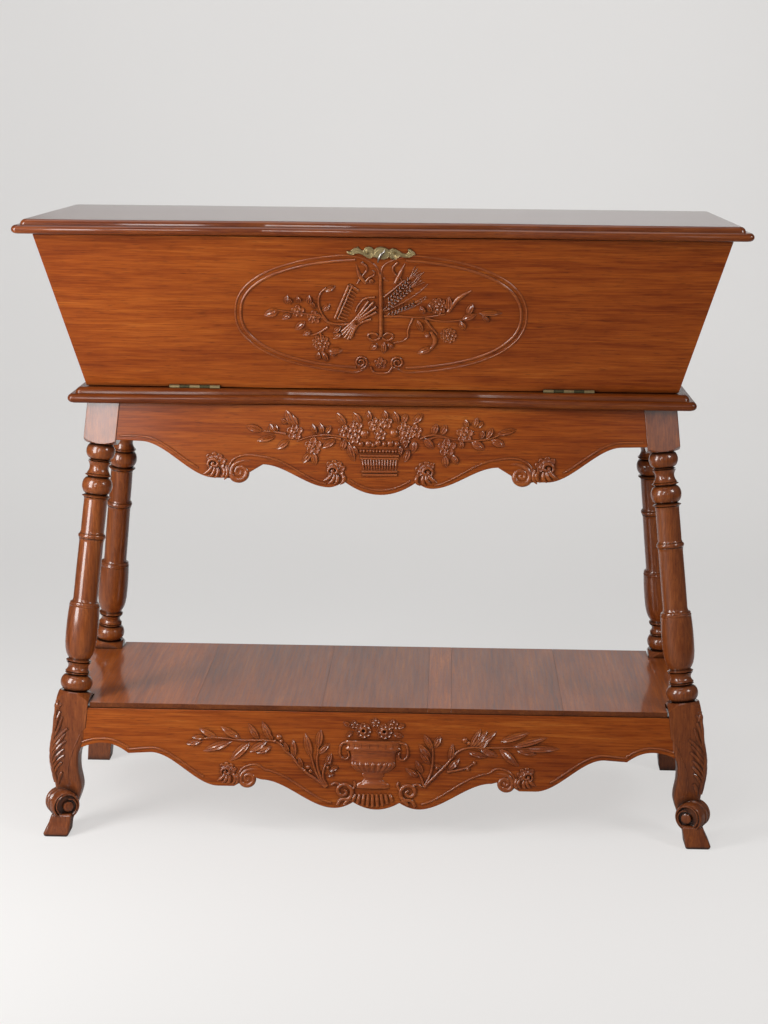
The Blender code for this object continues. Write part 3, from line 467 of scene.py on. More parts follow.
def shaped(form, length, radius, height):
    """Radii and heights along one form of a leg's turning."""
    if form in ("vase", "ring", "bead", "collar"):
        shape = {"vase": VASE_SHAPE, "ring": RING_SHAPE, "bead": BEAD_SHAPE, "collar": COLLAR_SHAPE}[form]
        return [(radius * share, height + length * t) for t, share in shape]
    if form == "ball":
        turns = [math.radians(-84 + 14 * step) for step in range(13)]
        return [(radius * (0.60 + 0.40 * math.cos(a)), height + length * (0.5 + 0.5 * math.sin(a)))
                for a in turns]
    if form == "cove":
        shares = [step / 8 for step in range(9)]
        return [(radius * (1 + 0.24 * (2 * t - 1) ** 2), height + length * t) for t in shares]
    ends = ((0.0, 1.06), (0.02, 1.02), (0.05, 1.0), (0.5, 1.01), (0.95, 1.0), (0.98, 1.02), (1.0, 1.06))
    return [(radius * share, height + length * t) for t, share in ends]


def leg_profile(low_end):
    """Radii and heights of a whole leg, up from the low end of its lower block."""
    shares = [step / 8 for step in range(9)]
    arch = [(BLOCK_CORNER + (BLOCK_HALF * 0.95 - BLOCK_CORNER) * t, t ** 0.9) for t in shares]
    profile = list(low_end)
    profile += [(radius, LOW_BLOCK_TOP - SHOULDERS[0] * (1 - t)) for radius, t in arch]
    spare = TOP_BLOCK - LOW_BLOCK_TOP - sum(length for form, length, _ in TURNING if form != "shaft")
    height = LOW_BLOCK_TOP
    for form, length, radius in TURNING:
        if form == "shaft":
            length *= spare
        profile += shaped(form, length, radius, height)
        height += length
    profile += [(radius, TOP_BLOCK + SHOULDERS[1] * (1 - t)) for radius, t in arch[::-1]]
    profile.append((BLOCK_CORNER, STAND_HEIGHT + BLOCK_SPARE))
    return profile


def leg_axis(height):
    """A point on the axis of the front left leg."""
    fall = STAND_HEIGHT - height
    return Vector((-LEG_ACROSS - fall * SPLAY_ACROSS, -LEG_ALONG - fall * SPLAY_ALONG, height))


leg_up = Vector((SPLAY_ACROSS, SPLAY_ALONG, 1)).normalized()
leg_ahead = Vector((0, -1, SPLAY_ALONG)).normalized()
leg_out = leg_ahead.cross(leg_up).normalized()
leg_frame = Matrix((leg_out, leg_ahead, leg_up)).transposed().to_4x4()
leg_frame = Matrix.Translation(leg_axis(0)) @ leg_frame @ Matrix.Scale(1 / leg_up.z, 4, (0, 0, 1))


def turned_leg(name, low_end):
    """A turned leg about Z, its blocks cut square by a prism with eased edges."""
    leg = lathe(name, leg_profile(low_end), TURNING_SIDES)
    bpy.ops.object.select_all(action="DESELECT")
    bpy.ops.mesh.primitive_cube_add(size=BLOCK_HALF * 2)
    prism = bpy.context.object
    bpy.ops.object.mode_set(mode="EDIT")
    bpy.ops.transform.resize(value=(1, 1, PRISM_STRETCH))
    bpy.ops.object.mode_set(mode="OBJECT")
    apply_modifier(prism, "BEVEL", width=BLOCK_EASE, segments=3, limit_method="ANGLE")
    apply_modifier(leg, "BOOLEAN", operation="INTERSECT", object=prism, solver="EXACT")
    bpy.data.objects.remove(prism)
    return leg


def cut_level(piece, height, keep_above):
    """Cuts a piece level and closes the cut."""
    choose(piece, lambda place: True)
    bpy.ops.mesh.bisect(plane_co=(0, 0, height), plane_no=(0, 0, 1), use_fill=True, clear_inner=keep_above,
                        clear_outer=not keep_above)
    bpy.ops.object.mode_set(mode="OBJECT")


def mirror_to_right(piece, name):
    """The same piece for the right side."""
    return put(copy_of(piece, name), Matrix.Scale(-1, 4, (1, 0, 0)))


LEG_CLEARANCE = 0.0003
LEG_TOP = STAND_HEIGHT - LEG_CLEARANCE
GRAIN_UPRIGHT = (0, math.radians(90), 0)
leg_walnut = walnut_finish("leg_walnut", LEG_SHADES, LEG_GLOSS, turn=GRAIN_UPRIGHT, reach=0.014, recess_shade=0.9)

# Back legs: two walnut legs with the same turning, on a plain block that tapers to the floor.
# They take the tenons of the back and side aprons.
BACK_FOOT_HALF = 0.021
BACK_FOOT_DROP = -0.02

back_leg = turned_leg("leg_back_left_wood", [(BLOCK_CORNER, BACK_FOOT_DROP)])
choose(back_leg, lambda place: place.z < 0)
bpy.ops.transform.resize(value=(BACK_FOOT_HALF / BLOCK_HALF,) * 2 + (1,), center_override=(0, 0, 0))
bpy.ops.object.mode_set(mode="OBJECT")
put(back_leg, Matrix.Scale(-1, 4, (0, 1, 0)) @ leg_frame)
cut_level(back_leg, LEG_TOP, False)
cut_level(back_leg, 0, True)
back_leg_right = mirror_to_right(back_leg, "leg_back_right_wood")
finish_piece(back_leg, leg_walnut, "stand", ["leg_back_left"], planed=True)
finish_piece(back_leg_right, leg_walnut, "stand", ["leg_back_right"], planed=True)

# Front legs: below the block the front legs sweep out in an S to a rolled scroll that stands on a flared
# toe. Foot, scroll and toe are carved from the same wood; an acanthus leaf lies on the outer corner.
FOOT_STATIONS = (
    (0.206, 0.0276, 0.0272), (0.192, 0.0283, 0.0280), (0.180, 0.0289, 0.0287), (0.169, 0.0294, 0.0290),
    (0.161, 0.0299, 0.0266), (0.152, 0.0304, 0.0227), (0.143, 0.0304, 0.0203), (0.1237, 0.0290, 0.0212),
    (0.1085, 0.0256, 0.0238), (0.095, 0.0212, 0.0280), (0.083, 0.0178, 0.0306), (0.072, 0.0158, 0.0300),
    (0.056, 0.0150, 0.0262), (0.039, 0.0158, 0.0212), (0.020, 0.0175, 0.0185), (0.010, 0.0180, 0.0180),
)
FOOT_ROUNDING = 0.007
SCROLL_LENGTH = 0.044
SCROLL_SIZE = 1.14
SCROLL_HEIGHT = 0.0535
SCROLL_TURN = math.radians(29)
SCROLL_FORWARD = 0.018
SCROLL_PROFILE = (
    (0.0170, -0.50), (0.0205, -0.48), (0.0222, -0.42), (0.0222, -0.30), (0.0196, -0.235), (0.0196, -0.215),
    (0.0225, -0.16), (0.0228, -0.02), (0.0200, 0.055), (0.0200, 0.075), (0.0225, 0.14), (0.0225, 0.36),
    (0.0218, 0.46), (0.0208, 0.50), (0.0194, 0.50), (0.0182, 0.47), (0.0165, 0.38), (0.0120, 0.33),
)
EYE_PROFILE = ((0.0096, 0.28), (0.0096, 0.44), (0.0090, 0.475), (0.0074, 0.495), (0.0030, 0.505))
EYE_SHIFT = (0.0042, -0.0022)
COIL_RADII = (0.0196, 0.0125)
COIL_THICK = 0.0016
TOE_FORWARD = 0.019
TOE_STATIONS = (
    (0.000, -0.0020, 0.0430, 0.0480),
    (0.006, -0.0020, 0.0446, 0.0500),
    (0.016, 0.0010, 0.0415, 0.0440),
    (0.026, 0.0045, 0.0385, 0.0395),
    (0.040, 0.0080, 0.0365, 0.0370),
)
LEAF_SPINE = (((45, 0.236), (46, 0.205), (46, 0.172), (44, 0.140), (41, 0.112), (38, 0.090)), 0.0042)
LEAF_BLADES = (
    (((52, 0.222), (48, 0.231), (40, 0.239)), 0.0030), (((44, 0.219), (40, 0.227), (33, 0.233)), 0.0026),
    (((48, 0.178), (43, 0.192), (39, 0.207), (34, 0.220)), 0.0032),
    (((44, 0.172), (36, 0.186), (31, 0.199), (27, 0.210)), 0.0030),
    (((45, 0.156), (35, 0.170), (22, 0.182), (7, 0.190)), 0.0036),
    (((44, 0.148), (34, 0.160), (24, 0.171), (13, 0.180)), 0.0036),
    (((43, 0.140), (33, 0.151), (20, 0.162), (7, 0.168)), 0.0036),
    (((42, 0.126), (33, 0.137), (22, 0.147), (11, 0.153)), 0.0032),
    (((41, 0.117), (31, 0.128), (19, 0.137), (8, 0.142)), 0.0032),
    (((40, 0.107), (31, 0.117), (22, 0.125), (12, 0.129)), 0.0030),
    (((30, 0.088), (25, 0.098), (18, 0.107), (11, 0.111)), 0.0036),
)
FOOT_RIDGE = (((-36, 0.180), (-27, 0.164), (-20, 0.1525), (-14, 0.139), (-11, 0.116), (-17, 0.099),
               (-26, 0.088)), 0.0013)
FOOT_SHOULDER = (0.003, 0.029)
LOOK_FROM = 0.2
SCROLL_SIDES = 40
EYE_SIDES = 28
COIL_STEPS = 24
COIL_START = 20
COIL_TURN = 18
COIL_SHARE = 0.48
TOE_ROUNDING = 0.004
SOFT_ANGLE = math.radians(50)

low_end = [(BLOCK_HALF * 1.02, FOOT_HEIGHT + FOOT_SHOULDER[0]),
           (BLOCK_CORNER, FOOT_HEIGHT + FOOT_SHOULDER[1])]
front_leg = turned_leg("leg_front_left_wood", low_end)
height, outer, inner = FOOT_STATIONS[0]
bpy.ops.object.select_all(action="DESELECT")
bpy.ops.mesh.primitive_plane_add(size=outer + inner, location=(0, 0, height))
foot = bpy.context.object
bpy.ops.object.transform_apply()
bpy.ops.object.mode_set(mode="EDIT")
for next_height, next_outer, next_inner in FOOT_STATIONS[1:]:
    shift = (next_outer - next_inner - outer + inner) / 2
    bpy.ops.mesh.extrude_region_move(TRANSFORM_OT_translate={"value": (shift, shift, next_height - height)})
    scale = (next_outer + next_inner) / (outer + inner)
    middle = (next_outer - next_inner) / 2
    bpy.ops.transform.resize(value=(scale, scale, 1), center_override=(middle, middle, next_height))
    height, outer, inner = next_height, next_outer, next_inner
outward_normals()
apply_modifier(foot, "BEVEL", width=FOOT_ROUNDING, segments=3, limit_method="ANGLE", angle_limit=SOFT_ANGLE)
apply_modifier(foot, "SUBSURF", levels=2, render_levels=2)
join_pieces("leg_front_left_wood", [front_leg, foot])
put(front_leg, leg_frame)
cut_level(front_leg, LEG_TOP, False)


def drawn_line(name, points, radius, closed=False, shares=None, lift=0.0):
    """A round moulding or stem along points, flat ones lifted; shares of the radius run along it."""
    curve = bpy.data.curves.new(name, "CURVE")
    curve.dimensions = "3D"
    curve.bevel_depth = radius
    curve.bevel_resolution = 3
    curve.resolution_u = 6
    curve.use_fill_caps = True
    spline = curve.splines.new("BEZIER")
    spline.bezier_points.add(len(points) - 1)
    spline.use_cyclic_u = closed
    for index, (point, place) in enumerate(zip(spline.bezier_points, points)):
        point.co = Vector(place).to_3d() + Vector((0, 0, lift))
        point.handle_left_type = "AUTO"
        point.handle_right_type = "AUTO"
        if shares:
            run = index / max(1, len(points) - 1) * (len(shares) - 1)
            low = min(int(run), len(shares) - 2)
            point.radius = shares[low] + (shares[low + 1] - shares[low]) * (run - low)
    piece = bpy.data.objects.new(name, curve)
    bpy.context.scene.collection.objects.link(piece)
    return piece


def made_solid(name, pieces):
    """Turns lines and solids into one mesh."""
    bpy.ops.object.select_all(action="DESELECT")
    for piece in pieces:
        piece.select_set(True)
    bpy.context.view_layer.objects.active = pieces[0]
    bpy.ops.object.convert(target="MESH")
    return join_pieces(name, list(bpy.context.selected_objects))


def on_foot(turn, height, sink):
    """A point just under the foot's skin, found by looking at the leg's axis from a turn round its front."""
    way = Vector((-math.sin(math.radians(turn)), -math.cos(math.radians(turn)), 0))
    _, place, skin, _ = front_leg.ray_cast(leg_axis(height) + way * LOOK_FROM, -way)
    return place - skin * sink


bpy.context.view_layer.update()
carved = []
path, thick = LEAF_SPINE
spots = [on_foot(*spot, thick * 0.35) for spot in path]
carved.append(drawn_line("spine", spots, thick, shares=(0.6, 1, 0.8)))
path, thick = FOOT_RIDGE
carved.append(drawn_line("ridge", [on_foot(*spot, thick * 0.3) for spot in path], thick))
for path, thick in LEAF_BLADES:
    for side in (False, True):
        spots = [on_foot(90 - turn if side else turn, height, thick * 0.15) for turn, height in path]
        carved.append(drawn_line("blade", spots, thick, shares=(0.7, 1, 1, 0.75)))
foot_leaf = made_solid("foot_leaf", carved)

rings = [(radius * SCROLL_SIZE, share * SCROLL_LENGTH) for radius, share in SCROLL_PROFILE]
scroll = lathe("scroll", rings, SCROLL_SIDES)
eye = lathe("eye", [(radius, share * SCROLL_LENGTH) for radius, share in EYE_PROFILE], EYE_SIDES)
put(eye, Matrix.Translation(EYE_SHIFT + (0,)))
coil = []
for step in range(COIL_STEPS + 1):
    turn = math.radians(COIL_START + COIL_TURN * step)
    reach = (COIL_RADII[0] + (COIL_RADII[1] - COIL_RADII[0]) * step / COIL_STEPS) * SCROLL_SIZE
    pull = Vector(EYE_SHIFT) * step / COIL_STEPS
    place = Vector((math.cos(turn), math.sin(turn))) * reach + pull
    coil.append((place.x, place.y, SCROLL_LENGTH * COIL_SHARE))
rim = drawn_line("rim", coil, COIL_THICK, shares=(1, 0.8))
scroll = made_solid("scroll", [scroll, eye, rim])
scroll_facing = Vector((math.sin(SCROLL_TURN), -math.cos(SCROLL_TURN), 0))
scroll_side = Vector((0, 0, 1)).cross(scroll_facing)
scroll_frame = Matrix((scroll_side, (0, 0, 1), scroll_facing)).transposed().to_4x4()
scroll_place = leg_axis(SCROLL_HEIGHT) + Vector((0, -SCROLL_FORWARD, 0))
put(scroll, Matrix.Translation(scroll_place) @ scroll_frame)

bpy.ops.object.select_all(action="DESELECT")
bpy.ops.mesh.primitive_plane_add(size=1, location=(TOE_STATIONS[0][1], 0, 0))
toe = bpy.context.object
toe.scale = (TOE_STATIONS[0][2], TOE_STATIONS[0][3], 1)
bpy.ops.object.transform_apply()
bpy.ops.object.mode_set(mode="EDIT")
for low, high in zip(TOE_STATIONS, TOE_STATIONS[1:]):
    step = (high[1] - low[1], 0, high[0] - low[0])
    bpy.ops.mesh.extrude_region_move(TRANSFORM_OT_translate={"value": step})
    flare = (high[2] / low[2], high[3] / low[3], 1)
    bpy.ops.transform.resize(value=flare, center_override=(high[1], 0, high[0]))
outward_normals()
apply_modifier(toe, "BEVEL", width=TOE_ROUNDING, segments=4, limit_method="ANGLE", angle_limit=SOFT_ANGLE)
put(toe, Matrix.Translation(leg_axis(0) + Vector((0, -TOE_FORWARD, 0))))
join_pieces("leg_front_left_wood", [front_leg, foot_leaf, scroll, toe])
cut_level(front_leg, 0, True)
front_leg_right = mirror_to_right(front_leg, "leg_front_right_wood")
finish_piece(front_leg, leg_walnut, "stand", ["leg_front_left"], planed=True)
finish_piece(front_leg_right, leg_walnut, "stand", ["leg_front_right"], planed=True)

# Plain aprons: straight walnut boards at the back and sides, with eased edges. They are tenoned between the
# legs and tie the stand together, one above and one below.
BOARD_EASE = 0.0015
APRON_GLOSS = (0.20, 0.18, 0.16)


def eased_board(node, ease):
    """A board of the frame with its edges eased."""
    piece = copy_of(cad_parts[node], node + "_wood")
    only(piece)
    bpy.ops.mesh.customdata_custom_splitnormals_clear()
    bpy.ops.object.mode_set(mode="EDIT")
    bpy.ops.mesh.select_all(action="SELECT")
    bpy.ops.mesh.remove_doubles(threshold=0.00001)
    bpy.ops.mesh.dissolve_limited(angle_limit=math.radians(1))
    bpy.ops.object.mode_set(mode="OBJECT")
    apply_modifier(piece, "BEVEL", width=ease, segments=3, limit_method="ANGLE", angle_limit=math.radians(40))
    return piece


apron_walnut = walnut_finish("apron_walnut", WALNUT_SHADES, APRON_GLOSS, offset=(0.31, 0.2, 0.13),
                             reach=0.009, recess_shade=0.8)
GRAIN_FORWARD = (0, 0, math.radians(90))
side_walnut = walnut_finish("side_walnut", LEG_SHADES, APRON_GLOSS, turn=GRAIN_FORWARD,
                            offset=(0.2, 0.4, 0.3))
for tier in ("upper", "lower"):
    for place in ("back", "left", "right"):
        node = f"{tier}_apron_{place}"
        wood = apron_walnut if place == "back" else side_walnut
        finish_piece(eased_board(node, BOARD_EASE), wood, "stand", [node], planed=True)

# Front aprons: two boards sawn to a scalloped lower edge with volutes, their edge marked by a raised bead.
# They lean with the legs. Drops are measured down from the top of each board.
APRON_TOP = (0.7642, 0.2267)
APRON_THICKNESS = 0.020
APRON_PROUD = 0.02716
APRON_FACE = LEG_ALONG + APRON_PROUD
APRON_EMBED = 0.022
APRON_EASE = 0.0016
BEAD_RADIUS = 0.0020
BEAD_INSET = (0.0085, 0.0085)
UPPER_WAVE_INSET = (0.0135, 0.0055)
LOWER_WAVE_INSET = (0.0190, 0.0095)
BEAD_OVERRUN = 0.004
UPPER_BEAD_POINTS = 21
LOWER_BEAD_POINTS = 41
UPPER_END = (0.456, 0.0665)
UPPER_SHOULDER = (0.420, 0.0675)
UPPER_VALLEY = (0.290, 0.130)
UPPER_VOLUTE = (0.247, 0.1195)
UPPER_VOLUTE_RADIUS = 0.0165
UPPER_NOTCH = 0.021
UPPER_CREST = (0.205, 0.1055)
UPPER_TROUGH = (0.090, 0.144)
UPPER_CUSP = (0.0636, 0.133)
UPPER_CENTRE = (0.0, 0.156)
LOWER_START = (0.522, 0.071)
LOWER_CROWN = (0.485, 0.0625)
LOWER_FIRST_CUSP = (0.440, 0.080)
LOWER_SHOULDER = (0.400, 0.0775)
LOWER_VALLEY = (0.280, 0.1355)
LOWER_VOLUTE = (0.230, 0.1185)
LOWER_VOLUTE_RADIUS = 0.015
LOWER_NOTCH = 0.022
LOWER_CREST = (0.203, 0.123)
LOWER_TROUGH = (0.075, 0.1715)
LOWER_CUSP = (0.041, 0.1605)
LOWER_CENTRE = (0.0, 0.173)
apron_lean = math.atan(SPLAY_ALONG)


def board_matrix(face_y, height, lean):
    """Sets flat work (X across, Y up, Z out) on the front face of a leaning board."""
    return Matrix.Translation((0, face_y, height)) @ Matrix.Rotation(math.radians(90) + lean, 4, "X")


def cyma(start, end):
    """An S-curve between two points, level at both ends."""
    points = []
    for step in range(25):
        t = step / 24
        rise = t * t * (3 - 2 * t)
        points.append((start[0] + (end[0] - start[0]) * t, start[1] + (end[1] - start[1]) * rise))
    return points


def bow(start, end):
    """A half arch from a point to its level end, the start left out."""
    shares = [1 - step / 10 for step in range(1, 11)]
    return [(end[0] + (start[0] - end[0]) * t, end[1] + (start[1] - end[1]) * t * t) for t in shares]


def volute_edge(centre, radius):
    """The part of a volute that hangs below an edge, from its outer side to its inner side."""
    turns = [math.radians(45 + 6.5 * step) for step in range(21)]
    return [(centre[0] + radius * math.cos(a), centre[1] + radius * math.sin(a)) for a in turns]


def both_halves(half):
    """Mirrors half an edge, given from its end to its middle, as points across and up."""
    left = [(-x, -drop) for x, drop in half]
    return left + [(-x, y) for x, y in left[-2::-1]]


upper_half = [UPPER_END] + cyma(UPPER_SHOULDER, UPPER_VALLEY)
upper_half += [(UPPER_VOLUTE[0] + UPPER_NOTCH, UPPER_VALLEY[1])]
upper_half += volute_edge(UPPER_VOLUTE, UPPER_VOLUTE_RADIUS)
upper_half += cyma(UPPER_CREST, UPPER_TROUGH) + bow(UPPER_CUSP, UPPER_TROUGH)[-2::-1] + [UPPER_CUSP]
upper_half += bow(UPPER_CUSP, UPPER_CENTRE)
lower_half = [LOWER_START] + bow(LOWER_START, LOWER_CROWN) + bow(LOWER_FIRST_CUSP, LOWER_CROWN)[-2::-1]
lower_half += [LOWER_FIRST_CUSP] + cyma(LOWER_SHOULDER, LOWER_VALLEY)
lower_half += [(LOWER_VOLUTE[0] + LOWER_NOTCH, LOWER_VALLEY[1])]
lower_half += volute_edge(LOWER_VOLUTE, LOWER_VOLUTE_RADIUS)
lower_half += cyma(LOWER_CREST, LOWER_TROUGH) + bow(LOWER_CUSP, LOWER_TROUGH)[-2::-1] + [LOWER_CUSP]
lower_half += bow(LOWER_CUSP, LOWER_CENTRE)


def flat_board(name, outline, thickness, ease):
    """A sawn board: a filled outline with thickness and rounded edges, its front face at Z 0."""
    curve = bpy.data.curves.new(name, "CURVE")
    curve.dimensions = "2D"
    curve.fill_mode = "BOTH"
    curve.extrude = thickness / 2 - ease
    curve.bevel_depth = ease
    curve.bevel_resolution = 2
    curve.offset = -ease
    spline = curve.splines.new("POLY")
    spline.points.add(len(outline) - 1)
    spline.use_cyclic_u = True
    for point, (x, y) in zip(spline.points, outline):
        point.co = (x, y, 0, 1)
    piece = bpy.data.objects.new(name, curve)
    bpy.context.scene.collection.objects.link(piece)
    only(piece)
    bpy.ops.object.convert(target="MESH")
    piece = bpy.context.object
    bpy.ops.object.mode_set(mode="EDIT")
    bpy.ops.mesh.select_all(action="SELECT")
    bpy.ops.mesh.remove_doubles(threshold=0.00002)
    outward_normals()
    return put(piece, Matrix.Translation((0, 0, -thickness / 2)))


def inside_line(edge, insets):
    """An edge moved into the board by an inset that changes evenly along it."""
    moved = []
    for index in range(1, len(edge) - 1):
        run = Vector(edge[index + 1]) - Vector(edge[index - 1])
        across = Vector((-run.y, run.x)).normalized()
        inset = insets[0] + (insets[1] - insets[0]) * index / (len(edge) - 1)
        moved.append(Vector(edge[index]) + across * inset)
    return moved


def front_apron(tier, top, half_edge):
    """A scalloped front apron between the leg blocks."""
    edge = both_halves(half_edge)
    reach = LEG_ACROSS + (STAND_HEIGHT - top) * SPLAY_ACROSS - APRON_EMBED
    low = reach + half_edge[0][1] * SPLAY_ACROSS
    outline = [(-reach, 0), (-low, edge[0][1])] + edge + [(low, edge[-1][1]), (reach, 0)]
    board = flat_board(f"{tier}_apron_front_wood", outline, APRON_THICKNESS, APRON_EASE)
    face = board_matrix(-APRON_FACE - (STAND_HEIGHT - top) * SPLAY_ALONG, top, -apron_lean)
    put(board, face)
    finish_piece(board, apron_walnut, "stand", [f"{tier}_apron_front"], planed=True)
    return face


upper_face = front_apron("upper", APRON_TOP[0], upper_half)
lower_face = front_apron("lower", APRON_TOP[1], lower_half)

# Carving on the aprons: cut in low relief from the board's own wood. Each leaf, petal and stem is laid
# flat on the board where the photograph shows it and stands a few millimetres proud, with its foot sunk
# into the board.
RELIEF_SINK = 0.0012
LEAF_RISE = 0.0046
PETAL_RISE = 0.0050
FRUIT_RISE = 0.0048
BERRY_RISE = 0.0042
ROSE_RISE = 0.0065
LEAF_FULLNESS = 1.25
UPPER_STEM = 2.6
LOWER_STEM = 3.0
BASKET_RIM = 2.6
FLUTE_WIDTH = 4.4
CARVED_GLOSS = (0.35, 0.95, 0.10)
UPPER_STEMS = (
    ((347, 438), (338, 436), (326, 435), (314, 436), (304, 438.5), (297, 441)),
    ((341, 439), (332, 437.5), (322, 439)),
    ((286, 434), (276, 432), (264, 431)),
    ((420, 439), (430, 435.5), (441, 436), (452, 439), (464, 441)),
    ((428, 440), (437, 437), (446, 438)),
    ((464, 441), (480, 440.5), (493, 438), (503, 433)),
)
UPPER_LEAVES = (
    ((346, 426), (336.5, 412.5), 6), ((316, 435), (312, 423.5), 4.5), ((323, 434), (320, 423), 5),
    ((326, 434), (331, 425), 4.5), ((336, 439), (322, 448), 6), ((293, 426), (286, 410), 6.5),
    ((297, 427), (291, 414), 6), ((288, 424), (281, 419), 4), ((289, 440), (277, 449), 6),
    ((263, 431), (245.5, 425.5), 6), ((274, 434), (269.5, 423.5), 5), ((277, 432), (275, 424), 4),
    ((276, 436), (257, 441), 5), ((311, 452), (303, 463), 5.5), ((313, 452), (315.5, 465.5), 6),
    ((433, 435), (437, 423.5), 6), ((441, 435), (446.5, 424.5), 6), ((424, 438), (434, 449.5), 6.5),
    ((468, 428), (465, 419.5), 4.5), ((474, 428), (477.5, 417.5), 5), ((478, 428), (483, 421), 4),
    ((471, 441), (485, 450), 7.5), ((491, 440), (505, 446), 7), ((486, 439), (493, 427.5), 5.5),
    ((481, 439), (484, 430), 4.5), ((497, 434.5), (517, 429.5), 5), ((445, 456), (446, 468), 6),
    ((452, 455), (458, 465), 5.5), ((461, 441), (461.5, 449), 5), ((361, 424), (353.5, 412.5), 6.5),
    ((370, 422), (368, 410.5), 5.5), ((387, 420), (384, 410.5), 5), ((398, 424), (394, 411.5), 6),
    ((402, 423), (407, 413.5), 6), ((413, 424), (423, 413), 6), ((345, 440), (342, 450), 6),
    ((348, 442), (354.5, 462), 5.5), ((407, 440), (403.5, 449), 4.5), ((414, 440), (413, 453), 7),
    ((409, 449), (404.5, 462.5), 5.5), ((352, 446), (358, 455), 5), ((401, 446), (399.5, 456), 4.5),
)
UPPER_FLOWERS = (
    (295, 432, 8.5), (313.5, 446, 9), (465, 434.5, 9), (447, 447.5, 9.5), (356, 427, 7), (345, 431.5, 7),
    (375, 425, 7.5), (386, 422.5, 7), (404, 429, 7), (415, 431.5, 7.5), (380, 434.5, 6.5), (354, 438, 6.5),
    (405, 438.5, 6.5),
)
BASKET_FRUIT = [(364.7, 433.8, 4.6), (394, 433, 4.4), (368.6, 443.6, 3.6), (378, 443, 3.4),
                (390.4, 443.4, 3.6), (361, 444, 3.0), (384.5, 444, 2.8), (373.4, 445, 2.6), (397, 444, 3.0)]
BASKET_BEADS = [(361 + 3.2 * step, 451 + 0.04 * step, 1.7) for step in range(13)]
BASKET_REEDS = [((362.5 + 2.85 * step, 459.3), (364.0 + 2.63 * step, 471), 3.0) for step in range(13)]
BASKET_RIMS = (((360, 455.6), (379, 456), (399, 456.2)), ((360, 458.4), (379, 458.6), (398.5, 458.8)),
               ((361.5, 471.5), (379, 471.7), (397.5, 471.8)), ((362, 474.8), (379, 475), (397, 475)))
ACANTHUS_HOOK = (
    (-29.6, -3.2), (-31, -7.2), (-28.4, -10.8), (-24.2, -11.2), (-21.2, -8.6), (-22, -5.2), (-25, -4.8),
    (-26.8, -7), (-24.6, -8),
)
ACANTHUS_LOBES = (
    ((-29.6, -13.6), (-31.6, -16.8), 3.0), ((-24.6, -15), (-24.6, -18.8), 3.1),
    ((-19.4, -13.4), (-17.2, -16.6), 3.0), ((-16.2, -9.4), (-12.6, -11.4), 2.9),
    ((-17.6, -5.2), (-14.2, -5.2), 2.4),
)
ACANTHUS_TAILS = (
    ((-26.4, -5.4), (-28.4, -1.6), (-31.6, 1.4), (-36, 3.6)),
    ((-24.2, -3.6), (-24.8, 0.6), (-27, 4), (-30.4, 6)),
    ((-21.4, -3), (-20.8, 1.4), (-22, 4.8), (-24.8, 7.2)),
    ((-16.2, -3.4), (-14.2, 0.4), (-15, 4.2), (-18.4, 7.4)),
)
ACANTHUS_SPUR = ((-12.8, -5), (-11.4, 0), (-12, 5), (-14.8, 9))
ACANTHUS_RISE = 0.0048
ACANTHUS_TAIL = 5.0
ACANTHUS_RIB = 3.8
VOLUTE_BAND = 6.6
VOLUTE_SHARES = (0.3, 1.0, 1.0, 0.85, 0.75, 0.6)
VOLUTE_COIL = (
    (22, -8.6), (12, -9.8), (2, -9.2), (-4.6, -5.6), (-7.6, 0), (-6.8, 5.8), (-2, 9), (4, 8), (7.2, 3.8),
    (6.6, -1), (2.8, -3.4), (-1.4, -2.8), (-3.2, 0.4), (-2, 3.4), (0.9, 3.9), (2.0, 1.8), (0.6, 0.4),
)
VOLUTE_FILLET = ((-10.2, 2.4), (-9.8, -4.4), (-5.8, -10.6), (1.5, -14.6), (11, -15.6))
UPPER_VOLUTE_CENTRE = (239, 470.5)
UPPER_SHELL_CENTRE = (357.5, 477.5)
UPPER_SHELL_SCALE = 0.95
LOWER_VOLUTE_CENTRE = (247.3, 777.5)
LOWER_SCALE = 0.84
LOWER_STEMS = (
    ((326, 787), (316, 779), (306, 772), (298, 764), (292, 756), (285, 750), (279, 743), (270, 740.5),
     (256, 740), (240, 740), (224, 738), (206, 738), (196, 740)),
    ((326, 787), (319, 778), (314, 766), (311, 755), (308, 745)),
    ((326, 787), (320, 775), (317, 762), (318, 752), (319, 744)),
    ((327, 786), (323, 775), (326, 764), (330, 756)),
    ((424, 787), (431, 780), (438, 773), (446, 765), (452, 758), (459, 751), (468, 748), (480, 747.5),
     (495, 748), (512, 747.5), (530, 749), (546, 750)),
    ((424, 787), (429, 778), (432, 768), (433, 757), (433, 748)),
    ((424, 786), (421, 777), (417, 771)),
    ((447, 772), (458, 770), (468, 767), (475, 762.5)),
)
